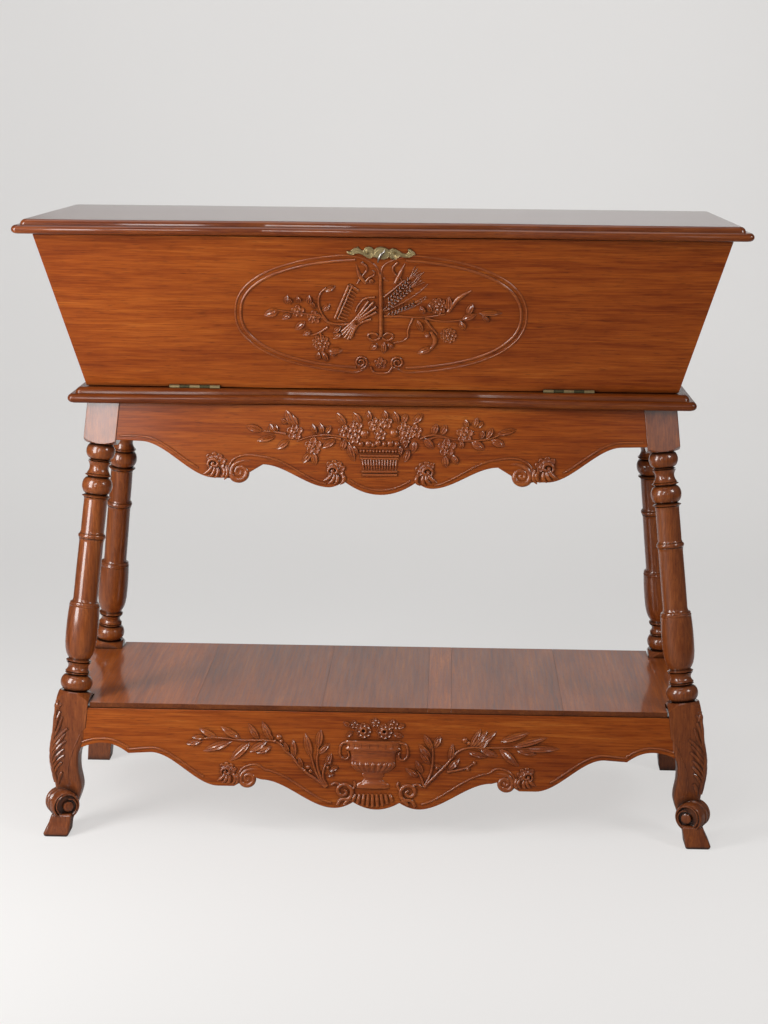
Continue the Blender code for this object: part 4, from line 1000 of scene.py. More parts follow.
LOWER_LEAVES = (
    ((311, 757), (305, 733), 6.5), ((318, 748), (321, 729), 6), ((318, 754), (330, 743), 5),
    ((326, 766), (331.5, 753), 5), ((329, 771), (339, 766), 4), ((327, 776), (335, 772), 3.5),
    ((294, 758), (293, 739), 5.5), ((302, 769), (299, 757), 4), ((289, 753), (284, 742), 4),
    ((271, 740), (262, 721), 6), ((273, 741), (268, 733), 4), ((267, 741), (249, 752), 6),
    ((272, 746), (256, 753), 5.5), ((250, 742), (230, 761), 7), ((259, 740), (248, 723), 5.5),
    ((241, 739), (220, 726), 6), ((232, 741), (203, 751), 6.5), ((217, 738), (199, 728), 5.5),
    ((203, 740), (186, 744), 5), ((206, 737), (192, 737), 4),
    ((433, 750), (424, 734.5), 5.5), ((434, 748), (441, 735.5), 5.5), ((431, 758), (418.5, 744), 6),
    ((430, 765), (420, 751), 5), ((423, 774), (415.5, 760), 5), ((419, 777), (405, 768), 5),
    ((450, 762), (453, 743.5), 5), ((448, 770), (459.5, 758.5), 6), ((443, 768), (434, 765), 4),
    ((470, 749), (481, 729), 5.5), ((473, 748), (488, 730), 5.5), ((476, 748), (497, 731), 5.5),
    ((478, 749), (490, 739), 5), ((480, 749), (498, 756.5), 6), ((468, 752), (488, 757), 5),
    ((499, 748), (519, 767), 7), ((500, 742), (530, 732.5), 6), ((512, 747), (548, 737.5), 6),
    ((522, 749), (560, 749), 6), ((516, 750), (537, 754.5), 5),
    ((353, 731), (346, 737), 3.5), ((352, 726), (343, 722), 4), ((393, 733), (404, 737), 4.5),
    ((397, 728), (406, 724), 4),
)
LOWER_BERRIES = (
    (279, 737, 3), (281.5, 741, 2.2), (308, 767, 2.2), (310.5, 771, 2.2), (305, 770.5, 2), (330, 763, 2),
    (328, 767.5, 2), (275, 741, 2), (465, 740.5, 3), (469, 743, 2.2), (468, 769, 2.2), (474.5, 763, 2.2),
    (437, 768, 2),
)
LOWER_ROSES = ((363.5, 730.5, 8), (384.5, 731.5, 8))
LOWER_FLOWERS = ((375, 722.5, 5), (393, 724.5, 5.5), (354, 724.5, 4.5))
URN_AXIS = 373.4
URN_PROFILE = (
    (27.6, 740.6), (28.4, 741.6), (28.4, 742.8), (27.0, 743.6), (26.8, 747.4), (28.2, 748.2),
    (28.6, 749.2), (27.6, 750.2), (23.4, 751.4), (22.6, 755), (22.0, 759), (22.6, 760.0), (22.4, 761.2),
    (21.2, 764), (18.0, 768), (14.0, 771.6), (10.4, 773.6), (11.2, 774.8), (11.2, 775.8), (10.0, 776.8),
    (9.0, 778.4), (9.8, 780.4), (11.6, 782.4), (15.0, 783.6), (16.6, 785.2), (16.8, 788.6),
)
URN_DEPTH = 0.17
URN_LOBES = ((21.6, 762), (21.0, 764.5), (18.0, 768), (14.0, 771.6), (11.2, 773.4))
URN_LOBE_TURNS = [-72 + 18 * step for step in range(9)]
URN_LOBE_RADIUS = 0.0056
URN_BAND = ((27.2, 743.8), (26.9, 745.6), (27.0, 747.6))
URN_BAND_TURNS = [-63 + 18 * step for step in range(8)]
URN_BAND_RADIUS = 0.0011
URN_HANDLE_STEM = 2.6
URN_HANDLE_SHIFT = 1
URN_SIDES = 40
URN_HANDLE = ((348, 742), (342.5, 743.5), (340, 749), (341.5, 757), (346, 759), (349, 755.5), (347.8, 751))
LOWER_SHELL = (
    (((337, 805), (341, 799.5), (348.6, 798.6), (352, 792.8), (349.6, 786.6), (343.6, 784.4), (338.4, 787.6),
      (338.6, 793), (343.4, 795.2), (346.6, 792), (344, 789.6)), 4.4),
    (((344, 804.6), (347, 801), (351, 799.5)), 4.0), (((341, 785.4), (336, 783), (331, 785)), 3.4),
    (((352.4, 789.5), (355, 785), (354, 781)), 3.4),
)
FLUTES = 9
FLUTE_TOP = ((355.5, 389.5), 794.0)
FLUTE_FOOT = ((352.5, 392.5), 801.2, 5.6)


def photo_ray(pixel):
    """Direction from the camera through a pixel of the photograph."""
    across = (pixel[0] - PICTURE_WIDTH / 2) / FOCAL_PIXELS
    upward = (PICTURE_HEIGHT / 2 - pixel[1]) / FOCAL_PIXELS
    return heading + camera_right * across + camera_up * upward


def on_face(face, pixel):
    """Where a pixel of the photograph falls on a board's face, in the board's flat coordinates."""
    back = face.inverted()
    eye = back @ CAMERA_PLACE
    ray = back.to_3x3() @ photo_ray(pixel)
    hit = eye - ray * (eye.z / ray.z)
    return hit.xy


def ball(name, radius, segments, rings):
    """A sphere at the origin with its poles along X."""
    bpy.ops.object.select_all(action="DESELECT")
    bpy.ops.mesh.primitive_uv_sphere_add(segments=segments, ring_count=rings, radius=radius,
                                         rotation=(0, math.radians(90), 0))
    piece = bpy.context.object
    piece.name = name
    bpy.ops.object.transform_apply()
    return piece


def carved_leaf(name):
    """A pointed leaf one unit long, wide and high from its base at X 0, hollow between midrib and rims."""
    leaf = ball(name, 0.5, 20, 14)
    choose(leaf, lambda place: True)
    bpy.ops.transform.resize(value=(1, 1, 2), center_override=(0, 0, 0))
    choose(leaf, lambda place: place.x > 0.499)
    bpy.ops.transform.translate(value=(0.16, 0, 0), use_proportional_edit=True,
                                proportional_edit_falloff="SHARP", proportional_size=0.6)
    choose(leaf, lambda place: place.x < -0.499)
    bpy.ops.transform.translate(value=(-0.10, 0, 0), use_proportional_edit=True,
                                proportional_edit_falloff="SHARP", proportional_size=0.5)
    choose(leaf, lambda place: place.z > 0 and 0.25 < abs(place.y) / math.hypot(place.y, place.z / 2) < 0.65)
    bpy.ops.transform.resize(value=(1, 1, 0.66), center_override=(0, 0, 0))
    choose(leaf, lambda place: place.z > 0 and abs(place.y) / math.hypot(place.y, place.z / 2) > 0.7)
    bpy.ops.transform.resize(value=(1, 1, 1.4), center_override=(0, 0, 0))
    cut_level(leaf, -0.25, True)
    low = min(vertex.co.x for vertex in leaf.data.vertices)
    high = max(vertex.co.x for vertex in leaf.data.vertices)
    return put(leaf, Matrix.Diagonal((1 / (high - low), 1, 1, 1)) @ Matrix.Translation((-low, 0, 0)))


def carved_berry(name):
    """A dome of unit radius and height."""
    berry = ball(name, 1.0, 16, 10)
    cut_level(berry, -0.25, True)
    return berry


def laid(blank, start, end, width, height):
    """A copy of a blank laid flat from start to end."""
    run = end - start
    turn = Matrix.Rotation(math.atan2(run.y, run.x), 4, "Z")
    size = Matrix.Diagonal((run.length, width, height, 1))
    return put(copy_of(blank, blank.name), Matrix.Translation((start.x, start.y, 0)) @ turn @ size)


def carved_petal(name):
    """A round petal of unit radius, hollowed like a spoon."""
    petal = ball(name, 1.0, 16, 12)
    choose(petal, lambda place: place.z > 0.9)
    bpy.ops.transform.translate(value=(0, 0, -0.75), use_proportional_edit=True,
                                proportional_edit_falloff="SMOOTH", proportional_size=0.8)
    cut_level(petal, -0.25, True)
    return petal


def petal_ring(petals, reach, radius, rise, start):
    """Petals set in a ring round a flower's middle."""
    ring = []
    for step in range(petals):
        turn = math.radians(360 * step / petals + start)
        place = Vector((math.cos(turn), math.sin(turn))) * reach
        ring.append(laid_berry(petal_blank, place, radius, rise))
    return ring


def laid_berry(blank, place, radius, height):
    """A copy of a round blank set down at a place."""
    size = Matrix.Diagonal((radius, radius, height, 1))
    return put(copy_of(blank, blank.name), Matrix.Translation((place.x, place.y, 0)) @ size)


leaf_blank = carved_leaf("leaf_blank")
berry_blank = carved_berry("berry_blank")
petal_blank = carved_petal("petal_blank")
flower_eye = laid_berry(berry_blank, Vector((0, 0)), 0.27, 1.0)
flower_blank = join_pieces("flower_blank", petal_ring(5, 0.60, 0.40, 0.85, 18) + [flower_eye])
bpy.ops.object.select_all(action="DESELECT")
bpy.ops.mesh.primitive_torus_add(major_radius=0.34, minor_radius=0.16, major_segments=24, minor_segments=10)
rose_heart = bpy.context.object
choose(rose_heart, lambda place: True)
bpy.ops.transform.resize(value=(1, 1, 3.0), center_override=(0, 0, 0))
bpy.ops.transform.translate(value=(0, 0, 0.45))
bpy.ops.object.mode_set(mode="OBJECT")
rose_blank = join_pieces("rose_blank", petal_ring(8, 0.68, 0.34, 0.8, 0) + [rose_heart])
cluster = petal_ring(9, 0.74, 0.27, 0.8, 0) + petal_ring(5, 0.38, 0.27, 0.95, 20)
cluster.append(laid_berry(berry_blank, Vector((0, 0)), 0.2, 1.0))
cluster_blank = join_pieces("cluster_blank", cluster)


class Carving:
    """Collects the motifs of one board, in the board's flat coordinates."""

    def __init__(self, face):
        self.face = face
        self.parts = []

    def at(self, pixel, mirror=False):
        """Flat place of a pixel on the board, or of its mirror image."""
        place = on_face(self.face, pixel)
        if mirror:
            place.x = -place.x
        return place

    def pixel_size(self, pixel):
        """Length of one pixel across the board."""
        return (self.at((pixel[0] + 0.5, pixel[1])) - self.at((pixel[0] - 0.5, pixel[1]))).length

    def leaf(self, base, tip, width, rise=LEAF_RISE, mirror=False):
        """A leaf from its base to its tip."""
        size = width * LEAF_FULLNESS * self.pixel_size(base)
        self.parts.append(laid(leaf_blank, self.at(base, mirror), self.at(tip, mirror), size, rise))

    def round(self, blank, x, y, radius, rise, mirror=False):
        """A berry, flower or cluster round a pixel."""
        size = radius * self.pixel_size((x, y))
        self.parts.append(laid_berry(blank, self.at((x, y), mirror), size, rise))

    def lobe(self, middle, tip, width, mirror=False):
        """A spoon-shaped lobe as long again behind its middle as before it."""
        ends = (self.at(middle, mirror), self.at(tip, mirror))
        self.parts.append(laid(petal_blank, *ends, width * self.pixel_size(middle), ACANTHUS_RISE))

    def stem(self, pixels, thick, ends=(1, 0.5), mirror=False, lift=0.35):
        """A round stem through pixels; ends are shares of its thickness along it."""
        points = [self.at(pixel, mirror) for pixel in pixels]
        size = thick * self.pixel_size(pixels[0]) / 2
        self.parts.append(drawn_line("stem", points, size, shares=ends, lift=size * lift))

    def blade(self, pixels, width, mirror=False):
        """A curved frond, thin at both ends and fullest near its base."""
        points = [self.at(pixel, mirror) for pixel in pixels]
        size = width * self.pixel_size(pixels[0]) / 2
        self.parts.append(drawn_line("blade", points, size, shares=(0.7, 1, 0.85, 0.2)))

    def line(self, points, radius, closed=False, lift=0.0):
        """A moulding through flat points."""
        self.parts.append(drawn_line("line", points, radius, closed, lift=lift))

    def finish(self, name, material, body, nodes=()):
        """Makes one piece of the motifs, sets it on the board and fixes it to a body."""
        piece = made_solid(name, self.parts)
        put(piece, self.face)
        finish_piece(piece, material, body, nodes, angle=50)
        return piece


def moved_by(centre, scale, points):
    """Points drawn round a centre of their own, as pixels."""
    return [(centre[0] + x * scale, centre[1] + y * scale) for x, y in points]


def acanthus(carving, centre, scale, mirror, tails):
    """A curled acanthus leaf: a hooked rib, round lobes outside it and tails that sweep down to the edge."""
    for middle, tip, width in ACANTHUS_LOBES:
        carving.lobe(*moved_by(centre, scale, (middle, tip)), width * scale, mirror)
    for path in tails:
        carving.blade(moved_by(centre, scale, path), ACANTHUS_TAIL * scale, mirror)
    rib = moved_by(centre, scale, ACANTHUS_HOOK)
    carving.stem(rib, ACANTHUS_RIB * scale, (0.6, 1, 0.9, 0.7), mirror, 0.6)


def bead(carving, edge, insets, lead=()):
    """Runs a bead inside part of an edge at both sides, led in from pixels round a volute."""
    inner = inside_line([(-x, -drop) for x, drop in edge], insets)
    for mirror in (False, True):
        start = [carving.at(pixel, mirror) for pixel in lead]
        carving.line(start + [Vector((-x if mirror else x, y)) for x, y in inner], BEAD_RADIUS)


def volute(carving, centre, scale, mirror):
    """A flat band that rolls up into a coil."""
    coil = moved_by(centre, scale, VOLUTE_COIL)
    carving.stem(coil, VOLUTE_BAND * scale, VOLUTE_SHARES, mirror, -0.5)


carved_walnut = walnut_finish("carved_walnut", WALNUT_SHADES, CARVED_GLOSS, offset=(0.31, 0.2, 0.13),
                              reach=0.006, recess_shade=0.6, wear=0.25)
upper_carving = Carving(upper_face)
bead(upper_carving, [(LEG_ACROSS, UPPER_END[1])] + upper_half[:UPPER_BEAD_POINTS], BEAD_INSET)
bead(upper_carving, cyma(UPPER_CREST, UPPER_TROUGH), UPPER_WAVE_INSET,
     moved_by(UPPER_VOLUTE_CENTRE, 1.0, VOLUTE_FILLET))
bead(upper_carving, [UPPER_CUSP] + bow(UPPER_CUSP, UPPER_CENTRE) + [(-BEAD_OVERRUN, UPPER_CENTRE[1])],
     BEAD_INSET)
for path in UPPER_STEMS:
    upper_carving.stem(path, UPPER_STEM)
for base, tip, width in UPPER_LEAVES:
    upper_carving.leaf(base, tip, width)
for x, y, radius in UPPER_FLOWERS:
    upper_carving.round(flower_blank, x, y, radius, PETAL_RISE)
for x, y, radius in BASKET_FRUIT + BASKET_BEADS:
    upper_carving.round(berry_blank, x, y, radius, FRUIT_RISE)
for base, tip, width in BASKET_REEDS:
    upper_carving.blade((base, ((base[0] + tip[0]) / 2, (base[1] + tip[1]) / 2), tip), width)
for path in BASKET_RIMS:
    upper_carving.stem(path, BASKET_RIM, (1, 1))
for mirror in (False, True):
    acanthus(upper_carving, UPPER_SHELL_CENTRE, UPPER_SHELL_SCALE, mirror, ACANTHUS_TAILS)
    acanthus(upper_carving, UPPER_VOLUTE_CENTRE, 1.0, mirror, ACANTHUS_TAILS + (ACANTHUS_SPUR,))
    volute(upper_carving, UPPER_VOLUTE_CENTRE, 1.0, mirror)
upper_carving.finish("upper_apron_carving", carved_walnut, "stand")

lower_carving = Carving(lower_face)
bead(lower_carving, lower_half[:LOWER_BEAD_POINTS], BEAD_INSET)
bead(lower_carving, cyma(LOWER_CREST, LOWER_TROUGH), LOWER_WAVE_INSET,
     moved_by(LOWER_VOLUTE_CENTRE, LOWER_SCALE, VOLUTE_FILLET))
for path in LOWER_STEMS:
    lower_carving.stem(path, LOWER_STEM)
for base, tip, width in LOWER_LEAVES:
    lower_carving.leaf(base, tip, width)
for x, y, radius in LOWER_BERRIES:
    lower_carving.round(berry_blank, x, y, radius, BERRY_RISE)
for x, y, radius in LOWER_ROSES:
    lower_carving.round(rose_blank, x, y, radius, ROSE_RISE)
for x, y, radius in LOWER_FLOWERS:
    lower_carving.round(flower_blank, x, y, radius, PETAL_RISE)
urn_middle = lower_carving.at((URN_AXIS, URN_PROFILE[0][1]))
urn_scale = lower_carving.pixel_size((URN_AXIS, URN_PROFILE[0][1]))
urn_rings = [(radius * urn_scale, (URN_PROFILE[0][1] - y) * urn_scale) for radius, y in URN_PROFILE]
urn = lathe("urn", urn_rings, URN_SIDES)
urn_turn = Matrix.Diagonal((1, 1, URN_DEPTH, 1)) @ Matrix.Rotation(math.radians(-90), 4, "X")
put(urn, Matrix.Translation((urn_middle.x, urn_middle.y, 0)) @ urn_turn)
cut_level(urn, -RELIEF_SINK, True)
lower_carving.parts.append(urn)


def on_urn(turn, path, sink):
    """Points down the urn's side at a turn from its front."""
    side, front = math.sin(math.radians(turn)), math.cos(math.radians(turn)) * URN_DEPTH
    return [(urn_middle.x + radius * urn_scale * side, urn_middle.y + (URN_PROFILE[0][1] - y) * urn_scale,
             radius * urn_scale * front - sink) for radius, y in path]


for turn in URN_LOBE_TURNS:
    lobe = on_urn(turn, URN_LOBES, URN_LOBE_RADIUS * 0.55)
    lower_carving.parts.append(drawn_line("lobe", lobe, URN_LOBE_RADIUS, shares=(0.55, 0.95, 0.85, 0.6, 0.4)))
for turn in URN_BAND_TURNS:
    lower_carving.parts.append(drawn_line("panel", on_urn(turn, URN_BAND, 0), URN_BAND_RADIUS))
right_handle = [(2 * URN_AXIS + URN_HANDLE_SHIFT - x, y + URN_HANDLE_SHIFT) for x, y in URN_HANDLE]
for handle in (URN_HANDLE, right_handle):
    lower_carving.stem(handle, URN_HANDLE_STEM, (1, 0.8))
for step in range(FLUTES):
    share = step / (FLUTES - 1)
    top = (FLUTE_TOP[0][0] + (FLUTE_TOP[0][1] - FLUTE_TOP[0][0]) * share, FLUTE_TOP[1])
    foot_x = FLUTE_FOOT[0][0] + (FLUTE_FOOT[0][1] - FLUTE_FOOT[0][0]) * share
    foot = (foot_x, FLUTE_FOOT[1] + FLUTE_FOOT[2] * (1 - (2 * share - 1) ** 2))
    waist = ((top[0] + foot[0]) / 2, (top[1] + foot[1]) / 2)
    lower_carving.stem((top, waist, foot), FLUTE_WIDTH, (0.6, 1, 0.8), lift=0)
for mirror in (False, True):
    for path, thick in LOWER_SHELL:
        lower_carving.stem(path, thick, (0.8, 1, 0.9, 0.7), mirror, 0.1)
    acanthus(lower_carving, LOWER_VOLUTE_CENTRE, LOWER_SCALE, mirror, ACANTHUS_TAILS + (ACANTHUS_SPUR,))
    volute(lower_carving, LOWER_VOLUTE_CENTRE, LOWER_SCALE, mirror)
lower_carving.finish("lower_apron_carving", carved_walnut, "stand")

# Shelf: six loose boards that run from front to back between the aprons, waxed to a high gloss. Their
# sawn ends took up more stain, so the front edge is darker than the top.
SHELF_EASE = 0.0004
SHELF_SWELL = 0.00025
SHELF_TONES = (1.65, 1.4, 1.35, 1.75, 1.5, 1.6)
SHELF_GLOSS = (0.25, 0.42, 0.10)
SHELF_END_TONE = 0.72
SHELF_END_NORMAL = 0.7
SHELF_GRAIN_SHIFT = 0.37
end_shades = tinted(LEG_SHADES, SHELF_END_TONE)
shelf_end_walnut = walnut_finish("shelf_end_walnut", end_shades, SHELF_GLOSS, turn=GRAIN_FORWARD)
for number, strength in enumerate(SHELF_TONES, 1):
    wood = walnut_finish(f"shelf_walnut_{number}", tinted(LEG_SHADES, strength), SHELF_GLOSS,
                         turn=GRAIN_FORWARD, offset=(SHELF_GRAIN_SHIFT * number, 0.11, 0))
    node = f"shelf_board_{number}"
    board = eased_board(node, SHELF_EASE)
    low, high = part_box(node)
    for vertex in board.data.vertices:
        for side, seam, hand in ((low.x, number > 1, -1), (high.x, number < len(SHELF_TONES), 1)):
            if seam and abs(vertex.co.x - side) < 2 * SHELF_EASE:
                vertex.co.x += hand * SHELF_SWELL
    finish_piece(board, wood, "stand", [node], planed=True)
    board.data.materials.append(shelf_end_walnut)
    for face in board.data.polygons:
        if abs(face.normal.y) > SHELF_END_NORMAL:
            face.material_index = 1

# Moulded boards: the floor of the bin, its front edge a long serpentine with a round nose and a quarter
# round. The board is run from one plank; the moulding goes along the front and both ends, and the front
# hinges are let into it.
EDGE_PROJECTION = 0.0216
EDGE_FILLET = 0.001
SERPENTINE_DEPTH = 0.018
SERPENTINE_BOW = 0.006
SERPENTINE_END = 0.060
CORNER_RADIUS = 0.009
EDGE_CUTS = 140
FLOOR_HALF = (0.54447, 0.18493)
FLOOR_CUSP = 0.166
FLOOR_THICKNESS = 0.0265
FLOOR_NOSE = 0.016
EDGE_GLOSS = (0.28, 0.42, 0.13)
EDGE_TONE = 0.60
FRONT_HINGE_ROOM = 0.0004


def recess_at(x, half, cusp):
    """How far a serpentine front edge is set back at x."""
    outer = half - SERPENTINE_END
    x = abs(x)
    if x >= outer:
        return 0.0
    if x >= cusp:
        return SERPENTINE_DEPTH * ((outer - x) / (outer - cusp)) ** 2
    return SERPENTINE_DEPTH - SERPENTINE_BOW * (1 - (x / cusp) ** 2)


def moulded_edge(thickness, nose):
    """Inset and height through a moulded edge from its underside to the flat top."""
    turns = [math.radians(-90 + 15 * step) for step in range(13)]
    profile = [(nose / 2 - nose / 2 * math.cos(a), nose / 2 + nose / 2 * math.sin(a)) for a in turns]
    quarter = thickness - nose - EDGE_FILLET
    profile.append((EDGE_PROJECTION - quarter - 0.0006, nose))
    for step in range(7):
        a = math.radians(15 * step)
        profile.append((EDGE_PROJECTION - quarter * math.cos(a), nose + EDGE_FILLET + quarter * math.sin(a)))
    return profile


def moulded_board(name, half, cusp, bottom, thickness, nose):
    """A plank with a serpentine front, extruded up through its moulded edge."""
    half_x, half_y = half
    profile = moulded_edge(thickness, nose)
    bpy.ops.object.select_all(action="DESELECT")
    bpy.ops.mesh.primitive_plane_add(size=2, location=(0, 0, bottom))
    board = bpy.context.object
    board.name = name
    board.scale = (half_x, half_y, 1)
    bpy.ops.object.transform_apply()
    choose(board, lambda place: place.y < 0)
    bpy.ops.mesh.bevel(offset=CORNER_RADIUS, segments=6, affect="VERTICES")
    choose(board, lambda place: place.y < -half_y + 0.00001)
    bpy.ops.mesh.subdivide(number_cuts=EDGE_CUTS)
    bpy.ops.object.mode_set(mode="OBJECT")
    for vertex in board.data.vertices:
        if vertex.co.y < 0:
            vertex.co.y += recess_at(vertex.co.x, half_x, cusp)
    choose(board, lambda place: True)
    last_inset, last_height = 0.0, 0.0
    for index, (inset, height) in enumerate(profile):
        if index:
            bpy.ops.mesh.extrude_region_move(TRANSFORM_OT_translate={"value": (0, 0, height - last_height)})
        across = (half_x - inset) / (half_x - last_inset)
        deep = (half_y * 2 - inset) / (half_y * 2 - last_inset)
        bpy.ops.transform.resize(value=(across, deep, 1), center_override=(0, half_y, bottom + height))
        last_inset, last_height = inset, height
    outward_normals()
    return board


def let_in(board, leaf, room):
    """Cuts the pocket that a hinge's leaf and knuckles lie in, with room all round them."""
    low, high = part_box(leaf)
    bpy.ops.object.select_all(action="DESELECT")
    bpy.ops.mesh.primitive_cube_add(size=1, location=(low + high) / 2)
    pocket = bpy.context.object
    pocket.scale = high - low + Vector((2, 2, 2)) * room
    bpy.ops.object.transform_apply()
    apply_modifier(board, "BOOLEAN", object=pocket, operation="DIFFERENCE", solver="EXACT")
    bpy.data.objects.remove(pocket)


floor_walnut = walnut_finish("floor_walnut", tinted(WALNUT_SHADES, EDGE_TONE), EDGE_GLOSS,
                             offset=(0.8, 0.1, 0.6))
floor_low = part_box("bin_floor")[0]
bin_floor = moulded_board("bin_floor_wood", FLOOR_HALF, FLOOR_CUSP, floor_low.z, FLOOR_THICKNESS, FLOOR_NOSE)
for side in ("left", "right"):
    let_in(bin_floor, f"front_hinge_{side}_fixed_leaf", FRONT_HINGE_ROOM)
finish_piece(bin_floor, floor_walnut, "stand", ["bin_floor"], planed=True)

# Bin: the back and the two sloping ends are plain wide walnut boards fixed to the floor board, and the drop
# front, which swings on hinges at its foot, closes it.
BIN_GLOSS = (0.20, 0.14, 0.18)
bin_walnut = walnut_finish("bin_walnut", WALNUT_SHADES, BIN_GLOSS, offset=(0.05, 0.7, 0.42),
                           reach=0.009, recess_shade=0.8)
bin_end_walnut = walnut_finish("bin_end_walnut", WALNUT_SHADES, BIN_GLOSS, turn=GRAIN_FORWARD,
                               offset=(0.15, 0.3, 0.2))
BIN_BOARDS = (
    ("bin_back", bin_walnut, "stand"), ("bin_end_left", bin_end_walnut, "stand"),
    ("bin_end_right", bin_end_walnut, "stand"), ("drop_front", bin_walnut, "front_flap"),
)
for node, wood, body in BIN_BOARDS:
    finish_piece(eased_board(node, BOARD_EASE), wood, body, [node], planed=True)

# Carving on the drop front: an oval frame of two mouldings round a trophy of a rake, wheat and tied
# stalks on a staff, with a flowering branch at each side. It is cut in low relief from the board.
DROP_LEAN = math.radians(16.3)
DROP_FOOT = (-0.15443, 0.791)
OVAL_CENTRE = (380.7, 314.5)
OVAL_HALF = (0.2488, 0.1085)
OVAL_POWER = 2.25
OVAL_OUTER_RADIUS = 0.0018
OVAL_INNER_RADIUS = 0.0026
OVAL_STEP = 0.0092
OVAL_LIFT = -0.0005
OVAL_TOP = (
    ((379.8, 276), (378.4, 270.5), (374, 264.7), (366, 259.8), (357.4, 257)),
    ((388, 281), (384, 279), (381.6, 274), (382.6, 268), (386.5, 263.6), (392, 260.8), (400, 258.4),
     (408, 256.6)),
)
OVAL_FOOT = (((357.4, 372), (365.1, 368.4), (369.5, 362.9)), ((407.6, 372.4), (400, 370.6), (393.8, 365.4)))
OVAL_STEPS = 48
OVAL_OUTER_BREAK = 12
OVAL_INNER_BREAK = 8.3
DROP_STEMS = (
    (((380.5, 273.5), (380.7, 288), (381, 308), (381, 336)), 3.8, (0.7, 1, 1)),
    (((335, 318), (342, 301.5), (349, 285)), 3.0, (1, 1)),
    (((338, 318.6), (345, 302.6), (352, 286.4)), 2.2, (1, 1)),
    (((349.6, 284.2), (354, 287.4), (358.4, 290.6)), 2.4, (1, 1)),
    (((328, 322), (320, 316), (308, 314), (291, 312), (278, 310)), 2.6, (1, 0.5)),
    (((328, 327), (318, 333), (311, 335)), 2.4, (1, 0.5)),
    (((328, 322), (338, 324), (346, 324), (356, 322)), 2.6, (1, 1)),
    (((327.6, 321.7), (321.5, 312.5), (318.6, 302.8), (320.5, 293), (326, 288)), 2.4, (1, 0.7)),
    (((320, 332), (321, 335), (321.4, 339)), 2.4, (1, 1)),
    (((400, 316), (412, 317), (425, 317), (445, 314)), 2.6, (1, 0.6)),
    (((425, 318), (440, 321), (460, 320), (470, 318)), 2.4, (1, 0.5)),
    (((425, 319), (431, 327), (437, 334)), 2.8, (1, 0.7)),
    (((413, 318), (408, 330), (407, 338), (393, 343)), 2.0, (1, 0.7)),
    (((384, 316), (392, 316), (400, 316)), 2.6, (1, 1)),
    (((384, 297), (394, 289), (405, 280)), 2.2, (1, 0.6)),
    (((381, 312), (398, 297), (414, 281), (424, 272)), 1.6, (1, 0.4)),
    (((384, 311), (400, 304), (418, 293), (428, 284)), 1.6, (1, 0.4)),
    (((384, 316), (402, 311), (417, 305), (427, 297)), 1.6, (1, 0.4)),
    (((355, 312), (360, 303), (366, 298), (375, 297)), 2.2, (0.6, 1)),
    (((372, 270), (374.5, 274), (370, 277), (366, 281)), 2.4, (0.6, 1)),
    (((361, 262), (367, 268), (364, 274), (360, 279), (357, 284)), 2.6, (1, 0.5)),
    (((398, 262), (393, 268), (395, 274), (400, 278), (404, 283)), 2.6, (1, 0.5)),
    (((370.5, 366.5), (373.5, 371.6), (381, 373), (388.8, 371.8), (392.3, 366.8)), 2.2, (1, 1)),
    (((380, 337), (373, 333), (368, 336), (373, 340), (380, 338)), 2.2, (1, 1)),
    (((382, 337), (388, 333), (393, 336), (388, 340), (382, 338)), 2.2, (1, 1)),
)
BUNDLE_TIE = (356.4, 322)
BUNDLE_STALK = 3.2
BUNDLE_STEP = (0.9, 1.1)
BUNDLE_BAND = ((353.2, 318.4), (359.6, 325.6), 3.2, 0.0062)
BUNDLE_ENDS = (
    ((341.6, 331.6), (368.6, 301.0)), ((343.0, 334.4), (373.6, 301.9)), ((344.9, 337.3), (376.5, 306.7)),
    ((347.8, 339.2), (376.5, 312.0)), ((350.6, 338.0), (371.0, 319.0)),
)
DROP_LEAVES = (
    ((325, 291), (335.5, 285.5), 4), ((309, 304), (309, 295), 5), ((286, 304), (287, 295), 4.5),
    ((292, 304), (287, 297), 4), ((279, 310), (264, 315.5), 7), ((291, 313), (282, 319), 5),
    ((322, 311), (330, 304), 4.5), ((305, 321), (295, 330), 5.5), ((311, 330), (303, 335), 4.5),
    ((322, 351), (328, 362), 5), ((318, 352), (319, 360), 4.5), ((328, 351), (343, 350), 5.5),
    ((330, 352), (337, 356), 4), ((300, 303), (297, 296), 4.5), ((341, 326), (333, 333), 4.5),
    ((342, 332), (333, 338.5), 4.5), ((315, 309), (311, 301), 4),
    ((449, 312), (449, 296), 6), ((467, 315), (473, 303), 5.5), ((462, 319.5), (477, 313.5), 5.5),
    ((478, 313), (503, 313), 4.5), ((482, 315), (490, 322), 4.5), ((460, 321), (465, 330), 5.5),
    ((417, 320), (423, 332), 5), ((424, 335.5), (431, 332.5), 4), ((433, 347), (417, 353.5), 5),
    ((425, 314), (420, 306), 5), ((431, 313), (428, 304), 4.5), ((377, 343), (370.5, 350), 5),
    ((384, 342), (383.5, 354), 5), ((388, 343), (394, 348), 4.5), ((374, 283), (369, 279), 4),
)
DROP_BLADES = (
    (((448, 312), (459, 298), (472, 290.5)), 5.5), (((431, 331), (435, 342), (426, 353)), 5.5),
    (((366, 283), (360, 276), (356, 264)), 5.0), (((395, 283), (400, 274), (405, 264)), 5.0),
)
DROP_FLOWERS = ((298, 311, 7), (314, 317, 7.5), (380.5, 363, 6.5))
DROP_CLUSTERS = ((321, 343, 9), (438, 306, 9), (448.5, 335.5, 8.5))
DROP_VOLUTES = (((361, 362), 1), ((397.5, 362.5), -1))
VOLUTE_RADIUS = 6.5
VOLUTE_STEM = 2.6
TOOTH_WIDTH = 1.9
RAKE_TEETH = [((350.0 - 1.32 * step, 286 + 3.3 * step), (357.5 - 1.12 * step, 290.5 + 3.15 * step))
              for step in range(11)]
